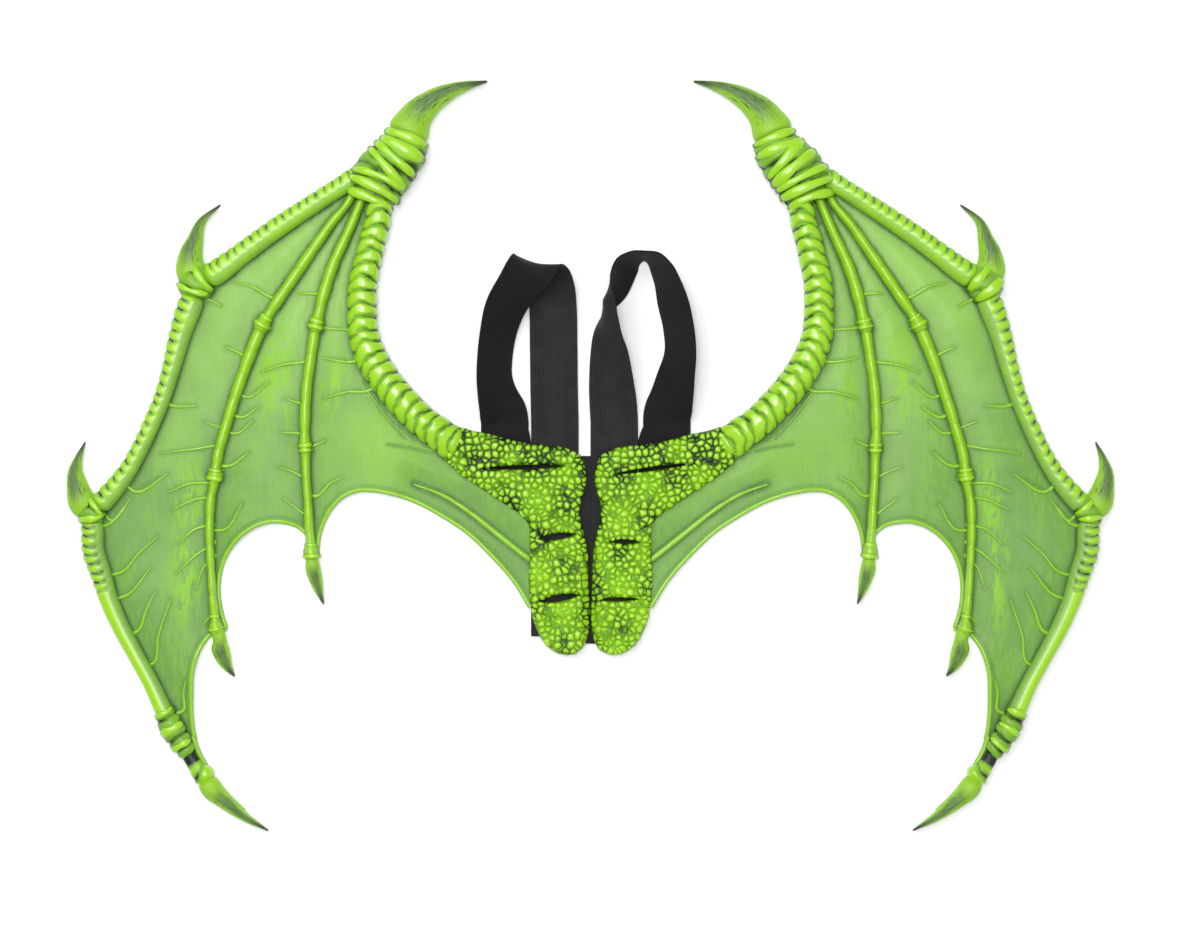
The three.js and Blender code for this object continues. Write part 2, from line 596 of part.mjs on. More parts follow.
// Each loop's route: [x, y, z] of the strap's middle, and the direction of its width there.
const loopRoutes = {
  left: [
    ...hingeEnd(innerLegX.left), [-29, 50, 2.2, 1, 0, 0], [-29.5, 90, 2.4, 1, 0, 0],
    [-30, 118, 4, 1, 0, 0.05], [-32, 136, 10, 0.98, 0, 0.1], [-37, 147, 20, 0.97, -0.1, 0.1],
    [-44, 147, 30, 0.95, -0.2, 0.05], [-53, 136, 33, 0.88, -0.35, -0.1], [-63, 118, 27, 0.85, -0.2, -0.3],
    [-70.5, 98, 20, 0.8, -0.05, -0.45], [-73.5, 78, 15, 0.78, 0.05, -0.5], [-74, 60, 12, 0.82, 0.08, -0.45],
    [-72, 42, 7.5, 0.93, 0.05, -0.25], [outerLegX.left - 0.8, 33, 3.6, 1, 0, -0.05],
    ...hingeEnd(outerLegX.left).reverse(),
  ],
  right: [
    ...hingeEnd(innerLegX.right), [18.5, 36, 4.5, 0.98, 0, 0.15],
    [16.5, 60, 10.5, 0.88, 0, 0.45], [15, 80, 14.5, 0.75, 0, 0.65], [14, 98, 17.5, 0.6, 0, 0.8],
    [15, 115, 20, 0.32, 0, 0.95], [19, 132, 20.5, -0.3, 0.15, 0.93], [28, 149, 20.5, -0.35, 0.3, 0.9],
    [43, 158.5, 20.5, 0, 0.25, 0.97], [56, 148, 20, 0.4, 0.3, 0.88], [65, 128, 17.5, 0.62, 0.12, 0.78],
    [70, 105, 16, 0.62, 0, 0.78], [70, 84, 15.5, 0.65, 0, 0.76], [67, 62, 13, 0.75, 0, 0.62],
    [63, 42, 8, 0.9, 0, 0.38], [outerLegX.right, 32, 3.8, 0.99, 0, 0.08],
    ...hingeEnd(outerLegX.right).reverse(),
  ],
};
// The routes are drawn for legs with these middles; a loop follows its legs when they move.
const drawnLegX = { left: [-28.5, -68.5], right: [19, 61] };
for (const [side, route] of Object.entries(loopRoutes)) {
  const [innerShift, outerShift] = [innerLegX[side] - drawnLegX[side][0], outerLegX[side] - drawnLegX[side][1]];
  const placed = route.map(([x, ...rest], i) => {
    const share = i / (route.length - 1);
    const fixed = i < 3 || i > route.length - 4;
    return [fixed ? x : x + innerShift * (1 - share) + outerShift * share, ...rest];
  });
  addPiece(`${side}_shoulder_loop`, strap(placed, 44, true), blackElastic);
}

export default part;
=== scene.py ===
import math

import bpy
import numpy as np
from mathutils.geometry import delaunay_2d_cdt
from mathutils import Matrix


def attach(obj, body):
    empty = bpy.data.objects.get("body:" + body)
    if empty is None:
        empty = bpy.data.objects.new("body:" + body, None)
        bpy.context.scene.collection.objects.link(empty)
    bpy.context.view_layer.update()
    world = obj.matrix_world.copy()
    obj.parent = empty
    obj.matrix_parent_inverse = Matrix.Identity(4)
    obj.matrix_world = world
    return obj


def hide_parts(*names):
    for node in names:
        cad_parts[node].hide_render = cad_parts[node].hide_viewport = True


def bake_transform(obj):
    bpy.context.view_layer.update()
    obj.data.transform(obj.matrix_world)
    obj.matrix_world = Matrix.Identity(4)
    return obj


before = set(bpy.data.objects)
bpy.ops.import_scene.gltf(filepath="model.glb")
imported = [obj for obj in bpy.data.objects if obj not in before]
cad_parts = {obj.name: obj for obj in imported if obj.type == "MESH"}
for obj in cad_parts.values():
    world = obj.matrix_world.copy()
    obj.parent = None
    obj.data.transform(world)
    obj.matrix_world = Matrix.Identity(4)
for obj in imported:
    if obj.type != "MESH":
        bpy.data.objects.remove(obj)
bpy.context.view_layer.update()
mm = 0.001
print("frame loaded")

# camera, light and floor

studio = {
    "lens": 85.0,
    "sensor": 36.0,
    "frameWidth": 0.960,  # what the view covers at the height of the floor
    "frameMiddle": (0.0076, -0.0144),
    "world": 0.34,
    "key": {"at": (-0.9, 1.1, 2.6), "size": 2.2, "power": 38.0},
    "fill": {"at": (1.6, -0.9, 2.4), "size": 2.2, "power": 8.0},
    "top": {"at": (-0.1, 0.25, 3.2), "size": 1.0, "power": 38.0},
}
floorLook = {"reach": 6, "level": -0.0006, "colour": (0.93, 0.93, 0.95, 1), "roughness": 0.9, "glow": 0.16}
white = (1, 1, 1, 1)


def linear(red, green, blue):
    # 0-255 paint values to the linear colour that shader sockets take
    def one(value):
        value /= 255
        return value / 12.92 if value <= 0.04045 else ((value + 0.055) / 1.055) ** 2.4

    return (one(red), one(green), one(blue), 1.0)


def makeStudio():
    scene = bpy.context.scene
    scene.view_settings.view_transform = "Standard"
    camera = bpy.data.cameras.new("camera")
    camera.lens = studio["lens"]
    camera.sensor_width = studio["sensor"]
    camera.clip_end = 20
    eye = bpy.data.objects.new("camera", camera)
    height = studio["lens"] / studio["sensor"] * studio["frameWidth"]
    eye.location = (*studio["frameMiddle"], height)
    scene.collection.objects.link(eye)
    scene.camera = eye
    for name in ("key", "fill", "top"):
        light = bpy.data.lights.new(name, "AREA")
        light.shape = "DISK"
        light.size = studio[name]["size"]
        light.energy = studio[name]["power"]
        lamp = bpy.data.objects.new(name, light)
        lamp.location = studio[name]["at"]
        toMiddle = -np.array(studio[name]["at"])
        lamp.rotation_euler = (
            math.acos(-toMiddle[2] / np.linalg.norm(toMiddle)),
            0,
            math.atan2(toMiddle[1], toMiddle[0]) - math.pi / 2,
        )
        scene.collection.objects.link(lamp)
    world = bpy.data.worlds.new("studio")
    world.use_nodes = True
    background = world.node_tree.nodes["Background"].inputs
    background["Color"].default_value = white
    background["Strength"].default_value = studio["world"]
    scene.world = world


def makeFloor():
    mesh = bpy.data.meshes.new("floor")
    reach, level = floorLook["reach"], floorLook["level"]
    corners = [(x * reach, y * reach, level) for x, y in ((-1, -1), (1, -1), (1, 1), (-1, 1))]
    mesh.from_pydata(corners, [], [(0, 1, 2, 3)])
    floor = bpy.data.objects.new("floor", mesh)
    bpy.context.scene.collection.objects.link(floor)
    material = bpy.data.materials.new("paleFloor")
    material.use_nodes = True
    shader = material.node_tree.nodes["Principled BSDF"].inputs
    shader["Base Color"].default_value = floorLook["colour"]
    shader["Roughness"].default_value = floorLook["roughness"]
    shader["Emission Color"].default_value = white
    shader["Emission Strength"].default_value = floorLook["glow"]
    mesh.materials.append(material)


makeStudio()
makeFloor()
print("studio made")

# small tools for node trees


class Sheet:
    # adds nodes to a tree and links plain numbers or sockets into them
    def __init__(self, tree):
        self.tree = tree

    def put(self, socket, value):
        if isinstance(value, bpy.types.NodeSocket):
            self.tree.links.new(value, socket)
        elif value is not None:
            socket.default_value = value

    def fill(self, made, inputs):
        for key, value in inputs.items():
            self.put(made.inputs[key], value)

    def node(self, kind, inputs=None, **settings):
        made = self.tree.nodes.new(kind)
        for key, value in settings.items():
            setattr(made, key, value)
        self.fill(made, inputs or {})
        return made

    def math(self, operation, first, second=None, clamp=False):
        made = self.node("ShaderNodeMath", {0: first, 1: second}, operation=operation, use_clamp=clamp)
        return made.outputs[0]

    def times(self, first, second):
        return self.math("MULTIPLY", first, second)

    def plus(self, first, second):
        return self.math("ADD", first, second)

    def minus(self, first, second):
        return self.math("SUBTRACT", first, second)

    def vector(self, operation, first, second=None, scale=None):
        made = self.node("ShaderNodeVectorMath", {0: first, 1: second}, operation=operation)
        if scale is not None:
            self.put(made.inputs["Scale"], scale)
        return made.outputs[0]

    def split(self, vector):
        return self.node("ShaderNodeSeparateXYZ", {"Vector": vector}).outputs

    def join(self, x, y, z=None):
        return self.node("ShaderNodeCombineXYZ", {"X": x, "Y": y, "Z": z}).outputs[0]

    def ramp(self, value, low, high, toLow=0.0, toHigh=1.0, smooth=True):
        made = self.node(
            "ShaderNodeMapRange",
            {"Value": value, "From Min": low, "From Max": high, "To Min": toLow, "To Max": toHigh},
            interpolation_type="SMOOTHSTEP" if smooth else "LINEAR",
        )
        return made.outputs["Result"]

    def blend(self, share, first, second):
        made = self.node("ShaderNodeMix", data_type="RGBA")
        self.fill(made, {"Factor": share, 6: first, 7: second})
        return made.outputs[2]

    def noise(self, place, scale, detail, roughness=None):
        inputs = {"Vector": place, "Scale": scale, "Detail": detail, "Roughness": roughness}
        return self.node("ShaderNodeTexNoise", inputs).outputs[0]

    def objectPlace(self):
        return self.node("ShaderNodeTexCoord").outputs["Object"]

    def painted(self, name):
        # a stored value, read by a material
        return self.node("ShaderNodeAttribute", attribute_name=name).outputs["Fac"]

    def field(self, name):
        # a stored value, read by a geometry tree
        made = self.node("GeometryNodeInputNamedAttribute", {"Name": name}, data_type="FLOAT")
        return made.outputs["Attribute"]

    def normal(self):
        return self.node("GeometryNodeInputNormal").outputs[0]

    def pushed(self, shape, distance):
        offset = self.vector("SCALE", self.normal(), scale=distance)
        return self.node("GeometryNodeSetPosition", {"Geometry": shape, "Offset": offset}).outputs[0]


socketKinds = {float: "NodeSocketFloat", int: "NodeSocketInt", tuple: "NodeSocketColor"}


def newTree(name, kind, inputs, outputs):
    # each input is given by its starting value, or by the kind of its socket where it has none
    tree = bpy.data.node_groups.new(name, kind)
    for label, value in inputs.items():
        plain = isinstance(value, str)
        socketKind = value if plain else socketKinds[type(value)]
        socket = tree.interface.new_socket(name=label, in_out="INPUT", socket_type=socketKind)
        if not plain:
            socket.default_value = value
    for label, socketKind in outputs.items():
        tree.interface.new_socket(name=label, in_out="OUTPUT", socket_type=socketKind)
    return Sheet(tree), tree.nodes.new("NodeGroupInput").outputs, tree.nodes.new("NodeGroupOutput").inputs


def geometryTree(name, sizes):
    inputs = {"Geometry": "NodeSocketGeometry", **sizes, "Finish": "NodeSocketMaterial"}
    return newTree(name, "GeometryNodeTree", inputs, {"Geometry": "NodeSocketGeometry"})


def closeTree(sheet, given, out, shape, relief):
    # stores the relief and ends the tree with one smooth, painted shape
    stored = sheet.node(
        "GeometryNodeStoreNamedAttribute",
        {"Geometry": shape, "Name": "relief", "Value": relief},
        data_type="FLOAT",
        domain="POINT",
    )
    smooth = sheet.node("GeometryNodeSetShadeSmooth", {"Geometry": stored.outputs[0]})
    joined = sheet.node("GeometryNodeRealizeInstances", {"Geometry": smooth.outputs[0]})
    inputs = {"Geometry": joined.outputs[0], "Material": given["Finish"]}
    painted = sheet.node("GeometryNodeSetMaterial", inputs)
    sheet.put(out["Geometry"], painted.outputs[0])
    return sheet.tree


def runTree(piece, tree, values):
    # puts the tree on the piece with the given sizes, and turns the result into a plain mesh
    modifier = piece.modifiers.new(tree.name, "NODES")
    modifier.node_group = tree
    for item in tree.interface.items_tree:
        if item.item_type == "SOCKET" and item.in_out == "INPUT" and item.name in values:
            modifier[item.identifier] = values[item.name]
    graph = bpy.context.evaluated_depsgraph_get()
    made = bpy.data.meshes.new_from_object(
        piece.evaluated_get(graph), preserve_all_data_layers=True, depsgraph=graph
    )
    piece.modifiers.remove(modifier)
    old = piece.data
    made.name = piece.name
    piece.data = made
    bpy.data.meshes.remove(old)


# tree: ring wrinkles along a limb


def makeRingTree():
    sizes = {
        "Pitch": 0.01, "Depth": 0.001, "Bow": 0.0, "Slant": 0.0, "Wander": 0.002, "Sharpness": 3.0,
        "Side Low": -1.2, "Side High": -1.1, "Share Low": -0.1, "Share High": 1.1,
        "Wash": 1.0, "Inner Wash": 0.6, "Seed": 0.0,
    }
    sheet, given, out = geometryTree("ringWrinkles", sizes)
    along, across, up, share = (sheet.field(n) for n in ("along", "across", "up", "share"))
    place = sheet.node("GeometryNodeInputPosition").outputs[0]
    inputs = {"Vector": place, "W": given["Seed"], "Scale": 90.0, "Detail": 1.0}
    noise = sheet.node("ShaderNodeTexNoise", inputs, noise_dimensions="4D").outputs[0]
    wander = sheet.times(sheet.minus(noise, 0.5), given["Wander"])
    bowed = sheet.times(sheet.times(across, across), given["Bow"])
    slanted = sheet.times(across, given["Slant"])
    run = sheet.plus(sheet.plus(along, wander), sheet.plus(bowed, slanted))
    saw = sheet.math("FRACT", sheet.math("DIVIDE", run, given["Pitch"]))
    fromMiddle = sheet.math("ABSOLUTE", sheet.minus(sheet.times(saw, 2.0), 1.0))
    groove = sheet.math("POWER", fromMiddle, given["Sharpness"])
    side = sheet.ramp(across, given["Side Low"], given["Side High"])
    start = sheet.ramp(share, given["Share Low"], sheet.plus(given["Share Low"], 0.05))
    end = sheet.ramp(share, sheet.minus(given["Share High"], 0.05), given["Share High"], 1.0, 0.0)
    face = sheet.ramp(up, -0.45, -0.05)
    cut = sheet.times(groove, sheet.times(sheet.times(side, face), sheet.times(start, end)))
    moved = sheet.pushed(given["Geometry"], sheet.times(sheet.times(cut, given["Depth"]), -1.0))
    freeSide = sheet.ramp(across, -0.9, 0.8, 1.0, given["Inner Wash"])
    stain = sheet.times(sheet.math("POWER", cut, 0.6), freeSide)
    washed = sheet.minus(1.0, sheet.times(stain, given["Wash"]))
    return closeTree(sheet, given, out, moved, sheet.times(sheet.field("relief"), washed))


# tree: cobbled scales over a pad


def makeScaleTree():
    sizes = {
        "Scale Size": 0.0048, "Scale Height": 0.0014, "Gap Share": 0.42, "Irregularity": 0.9, "Warp": 0.001,
    }
    sheet, given, out = geometryTree("cobbledScales", sizes)
    place = sheet.node("GeometryNodeInputPosition").outputs[0]
    bend = sheet.node("ShaderNodeTexNoise", {"Vector": place, "Scale": 160.0, "Detail": 1.0}).outputs["Color"]
    bent = sheet.vector("ADD", place, sheet.vector("SCALE", bend, scale=given["Warp"]))
    flat = sheet.vector("MULTIPLY", bent, (1.0, 1.0, 0.25))
    density = sheet.math("DIVIDE", 1.0, given["Scale Size"])
    inputs = {"Vector": flat, "Scale": density, "Randomness": given["Irregularity"]}
    toEdge, ownCell = (
        sheet.node("ShaderNodeTexVoronoi", inputs, feature=feature, voronoi_dimensions="3D").outputs
        for feature in ("DISTANCE_TO_EDGE", "F1")
    )
    rise = sheet.ramp(toEdge["Distance"], 0.0, given["Gap Share"])
    spread = sheet.times(ownCell["Distance"], 1.2)
    rounded = sheet.math("SUBTRACT", 1.0, sheet.times(spread, spread), clamp=True)
    dome = sheet.times(rise, sheet.plus(0.45, sheet.times(rounded, 0.55)))
    tall = sheet.split(ownCell["Color"])[0]
    height = sheet.times(given["Scale Height"], sheet.plus(0.65, sheet.times(tall, 0.6)))
    moved = sheet.pushed(given["Geometry"], sheet.times(sheet.times(dome, height), sheet.field("up")))
    gap = sheet.times(sheet.minus(1.0, dome), sheet.field("dark"))
    return closeTree(sheet, given, out, moved, sheet.times(sheet.field("relief"), sheet.minus(1.0, gap)))


# tree: a raised ridge that follows a path


def makeRidgeTree():
    sheet, given, out = geometryTree("ridgeOnPath", {"Flatness": 0.7, "Sides": 10, "Relief": 1.0, "Flank": 0.5})
    wide = sheet.field("radius")
    curve = sheet.node("GeometryNodeMeshToCurve", {"Mesh": given["Geometry"]}).outputs[0]
    sized = sheet.node("GeometryNodeSetCurveRadius", {"Curve": curve, "Radius": wide}).outputs[0]
    upright = sheet.node("GeometryNodeSetCurveNormal", {"Curve": sized}, mode="Z_UP").outputs[0]
    inputs = {"Resolution": given["Sides"], "Radius": 1.0}
    circle = sheet.node("GeometryNodeCurvePrimitiveCircle", inputs).outputs[0]
    scale = sheet.join(1.0, given["Flatness"], 1.0)
    profile = sheet.node("GeometryNodeTransform", {"Geometry": circle, "Scale": scale}).outputs[0]
    inputs = {"Curve": upright, "Profile Curve": profile, "Fill Caps": True, "Scale": wide}
    tube = sheet.node("GeometryNodeCurveToMesh", inputs).outputs[0]
    facing = sheet.split(sheet.normal())[2]
    worn = sheet.times(sheet.ramp(facing, 0.05, 0.75, given["Flank"], 1.0), given["Relief"])
    return closeTree(sheet, given, out, tube, worn)


# tree: lengthwise ribs of woven elastic


def makeElasticTree():
    sheet, given, out = geometryTree("elasticRibs", {"Rib Pitch": 0.0014, "Rib Height": 0.00014})
    turn = sheet.times(sheet.math("DIVIDE", sheet.field("across"), given["Rib Pitch"]), math.pi)
    rib = sheet.math("POWER", sheet.math("ABSOLUTE", sheet.math("SINE", turn)), 0.7)
    moved = sheet.pushed(given["Geometry"], sheet.times(rib, given["Rib Height"]))
    return closeTree(sheet, given, out, moved, rib)


trees = {
    "rings": makeRingTree(),
    "scales": makeScaleTree(),
    "ridge": makeRidgeTree(),
    "elastic": makeElasticTree(),
}
print("node trees made")

# finishes


def makeLatexGroup():
    # painted latex: dark wash in the hollows, body colour, bright dry-brushed crests
    inputs = {
        "Relief": 1.0,
        "Crest": (0.3, 0.6, 0.02, 1),
        "Body": (0.2, 0.45, 0.05, 1),
        "Hollow": (0.02, 0.05, 0.01, 1),
        "Brush Scale": 60.0,
        "Brush Amount": 0.3,
        "Speckle": 0.1,
    }
    outputs = {"Color": "NodeSocketColor", "Roughness": "NodeSocketFloat", "Height": "NodeSocketFloat"}
    sheet, given, out = newTree("paintedLatex", "ShaderNodeTree", inputs, outputs)
    place = sheet.objectPlace()
    brush = sheet.noise(place, given["Brush Scale"], 5.0, 0.6)
    fine = sheet.noise(place, 900.0, 3.0)
    speck = sheet.noise(place, 420.0, 2.0)
    swing = sheet.times(sheet.minus(brush, 0.5), given["Brush Amount"])
    dots = sheet.times(sheet.ramp(speck, 0.62, 0.7), given["Speckle"])
    level = sheet.minus(sheet.plus(given["Relief"], swing), dots)
    lower = sheet.blend(sheet.ramp(level, 0.08, 0.5), given["Hollow"], given["Body"])
    sheet.put(out["Color"], sheet.blend(sheet.ramp(level, 0.5, 0.95), lower, given["Crest"]))
    sheet.put(out["Roughness"], sheet.ramp(fine, 0.3, 0.7, 0.36, 0.52, smooth=False))
    sheet.put(out["Height"], sheet.plus(sheet.times(fine, 0.4), brush))
    return sheet.tree


latexGroup = makeLatexGroup()


def newMaterial(name):
    material = bpy.data.materials.new(name)
    material.use_nodes = True
    return material, Sheet(material.node_tree), material.node_tree.nodes["Principled BSDF"]


def addBump(sheet, shader, height, distance):
    bump = sheet.node("ShaderNodeBump", {"Height": height, "Distance": distance, "Strength": 1.0})
    sheet.put(shader.inputs["Normal"], bump.outputs[0])


limePaint = {
    "Crest": linear(162, 222, 14),
    "Body": linear(122, 178, 44),
    "Hollow": linear(16, 32, 12),
    "Brush Scale": 70.0,
    "Brush Amount": 0.45,
    "Speckle": 0.12,
}
scalePaint = {
    "Crest": linear(170, 226, 18),
    "Body": linear(120, 176, 16),
    "Hollow": linear(22, 44, 14),
    "Brush Scale": 45.0,
    "Brush Amount": 0.35,
    "Speckle": 0.1,
}
bonePaint = dict(limePaint, Body=linear(138, 186, 84))
fingerPaint = dict(limePaint, Crest=linear(154, 212, 22), Body=linear(112, 162, 62), Hollow=linear(48, 84, 34))
ridgePaint = dict(limePaint, Crest=linear(146, 204, 44), Body=linear(124, 178, 56))


def makeLatex(name, paint, reliefFloor=0.0, coat=0.5):
    material, sheet, shader = newMaterial(name)
    relief = sheet.ramp(sheet.painted("relief"), 0.0, 1.0, reliefFloor, 1.0, smooth=False)
    latex = sheet.node("ShaderNodeGroup", node_tree=latexGroup)
    sheet.fill(latex, dict(paint, Relief=relief))
    sheet.fill(
        shader,
        {
            "Base Color": latex.outputs["Color"],
            "Roughness": latex.outputs["Roughness"],
            "Specular IOR Level": 0.45,
            "Coat Weight": sheet.ramp(relief, 0.45, 0.95, 0.04, coat),
            "Coat Roughness": 0.18,
            "Coat IOR": 1.55,
        },
    )
    addBump(sheet, shader, latex.outputs["Height"], 0.0003)
    return material


skinPaint = {
    "base": linear(116, 164, 74),
    "pale": linear(156, 204, 98),
    "grey": linear(146, 186, 128),
    "lime": linear(142, 206, 26),
    "crease": linear(62, 104, 34),
}


def makeSkin():
    material, sheet, shader = newMaterial("skinLatex")
    place = sheet.objectPlace()
    stroke = sheet.node("ShaderNodeMapping", {"Vector": place, "Scale": (1.0, 0.28, 1.0)}).outputs[0]
    cloud = sheet.noise(place, 14.0, 4.0, 0.6)
    brushed = sheet.noise(stroke, 42.0, 6.0, 0.72)
    streaks = sheet.noise(stroke, 320.0, 3.0)
    fine = sheet.noise(place, 1100.0, 2.0)
    cloudy = sheet.times(sheet.minus(cloud, 0.5), 1.6)
    # painted light: the skin is paler towards +Y, mixed with its own cloudy tone
    lit = sheet.plus(sheet.ramp(sheet.split(place)[1], -0.07, 0.2), cloudy)
    toneAndPaintedLight = sheet.blend(sheet.ramp(lit, 0.0, 1.0, smooth=False), skinPaint["base"], skinPaint["pale"])
    tinted = sheet.blend(sheet.times(sheet.painted("root"), 0.45), toneAndPaintedLight, skinPaint["lime"])
    patch = sheet.times(sheet.ramp(brushed, 0.45, 0.54), sheet.ramp(streaks, 0.38, 0.5))
    patched = sheet.blend(sheet.times(patch, sheet.painted("patch")), tinted, skinPaint["lime"])
    worn = sheet.times(sheet.ramp(streaks, 0.5, 0.75), 0.3)
    greyed = sheet.blend(worn, patched, skinPaint["grey"])
    crease = sheet.times(sheet.painted("crease"), sheet.ramp(brushed, 0.3, 0.6, 0.55, 1.0))
    shaded = sheet.blend(sheet.ramp(crease, 0.0, 1.0, smooth=False), greyed, skinPaint["crease"])
    roughness = sheet.ramp(streaks, 0.3, 0.7, 0.42, 0.56, smooth=False)
    sheet.fill(shader, {"Base Color": shaded, "Roughness": roughness, "Specular IOR Level": 0.4})
    addBump(sheet, shader, sheet.plus(streaks, sheet.times(fine, 0.3)), 0.00025)
    return material


clawPaint = {
    "edge": linear(150, 205, 40),
    "middle": linear(96, 132, 62),
    "dark": linear(38, 52, 32),
    "tip": linear(30, 42, 26),
}


def makeClaw():
    # lime sides, a dark brushed middle and a dark tip, all run lengthwise
    material, sheet, shader = newMaterial("clawLatex")
    across, along, share = (sheet.painted(n) for n in ("across", "along", "share"))
    lengthwise = sheet.join(sheet.times(across, 0.012), sheet.times(along, 0.12))
    hairs = sheet.noise(lengthwise, 700.0, 4.0, 0.65)
    fine = sheet.noise(sheet.objectPlace(), 900.0, 3.0)
    wobble = sheet.times(sheet.minus(hairs, 0.5), 0.9)
    side = sheet.math("ABSOLUTE", sheet.minus(across, 0.12))
    middle = sheet.ramp(sheet.plus(side, wobble), 0.28, 0.72, 1.0, 0.0)
    rooted = sheet.ramp(share, 0.12, 0.4)
    colour = sheet.blend(sheet.times(middle, rooted), clawPaint["edge"], clawPaint["middle"])
    # no streaks down the steep sides
    facing = sheet.ramp(sheet.math("ABSOLUTE", across), 0.72, 0.94, 1.0, 0.0)
    streak = sheet.times(sheet.ramp(hairs, 0.52, 0.62), sheet.times(rooted, facing))
    colour = sheet.blend(streak, colour, clawPaint["dark"])
    tip = sheet.ramp(sheet.plus(share, sheet.times(wobble, 0.25)), 0.72, 0.98)
    colour = sheet.blend(sheet.times(tip, 0.85), colour, clawPaint["tip"])
    roughness = sheet.ramp(hairs, 0.3, 0.7, 0.34, 0.5, smooth=False)
    sheet.fill(shader, {"Base Color": colour, "Roughness": roughness})
    addBump(sheet, shader, sheet.plus(hairs, sheet.times(fine, 0.3)), 0.0005)
    return material


elasticPaint = {"rib": linear(45, 44, 47), "gap": linear(14, 14, 15), "worn": linear(50, 49, 53)}
weftPitch = 0.0011


def makeElastic():
    material, sheet, shader = newMaterial("blackElastic")
    across, along, relief = (sheet.painted(n) for n in ("across", "along", "relief"))
    weave = sheet.join(across, along)
    threads = sheet.noise(weave, 1400.0, 2.0)
    worn = sheet.noise(weave, 60.0, 3.0)
    bars = sheet.math("ABSOLUTE", sheet.math("SINE", sheet.times(along, math.pi / weftPitch)))
    level = sheet.times(sheet.ramp(relief, 0.2, 0.9), sheet.ramp(threads, 0.3, 0.7, 0.6, 1.0))
    base = sheet.blend(level, elasticPaint["gap"], elasticPaint["rib"])
    faded = sheet.blend(sheet.ramp(worn, 0.4, 0.7, 0.0, 0.35), base, elasticPaint["worn"])
    side = sheet.ramp(sheet.painted("face"), 0.0, 1.0, 0.9, 0.0)
    sheet.fill(
        shader,
        {
            "Base Color": sheet.blend(side, faded, elasticPaint["gap"]),
            "Roughness": 0.82,
            "Specular IOR Level": 0.3,
            "Sheen Weight": 0.06,
            "Sheen Roughness": 0.5,
        },
    )
    addBump(sheet, shader, sheet.plus(sheet.times(bars, 0.5), threads), 0.00012)
    return material


def makeThread():
    material, sheet, shader = newMaterial("blackThread")
    twist = sheet.noise(sheet.objectPlace(), 2400.0, 2.0)
    colour = sheet.blend(twist, linear(18, 18, 19), linear(44, 44, 46))
    sheet.fill(shader, {"Base Color": colour, "Roughness": 0.7})
    addBump(sheet, shader, twist, 0.0001)
    return material


def makeWire():
    material, sheet, shader = newMaterial("softWire")
    drawn = sheet.noise(sheet.objectPlace(), 1500.0, 3.0)
    colour = sheet.blend(drawn, linear(150, 152, 156), linear(196, 198, 200))
    roughness = sheet.ramp(drawn, 0.3, 0.7, 0.28, 0.45)
    sheet.fill(shader, {"Base Color": colour, "Roughness": roughness, "Metallic": 1.0})
    return material


finishes = {
    "lime": makeLatex("limeLatex", limePaint, coat=0.95),
    "bone": makeLatex("boneLatex", bonePaint),
    "scales": makeLatex("scaledLatex", scalePaint),
    "finger": makeLatex("fingerLatex", fingerPaint),
    "ridge": makeLatex("ridgeLatex", ridgePaint, reliefFloor=0.3),
    "skin": makeSkin(),
    "claw": makeClaw(),
    "elastic": makeElastic(),
    "thread": makeThread(),
    "wire": makeWire(),
}
print("finishes made")

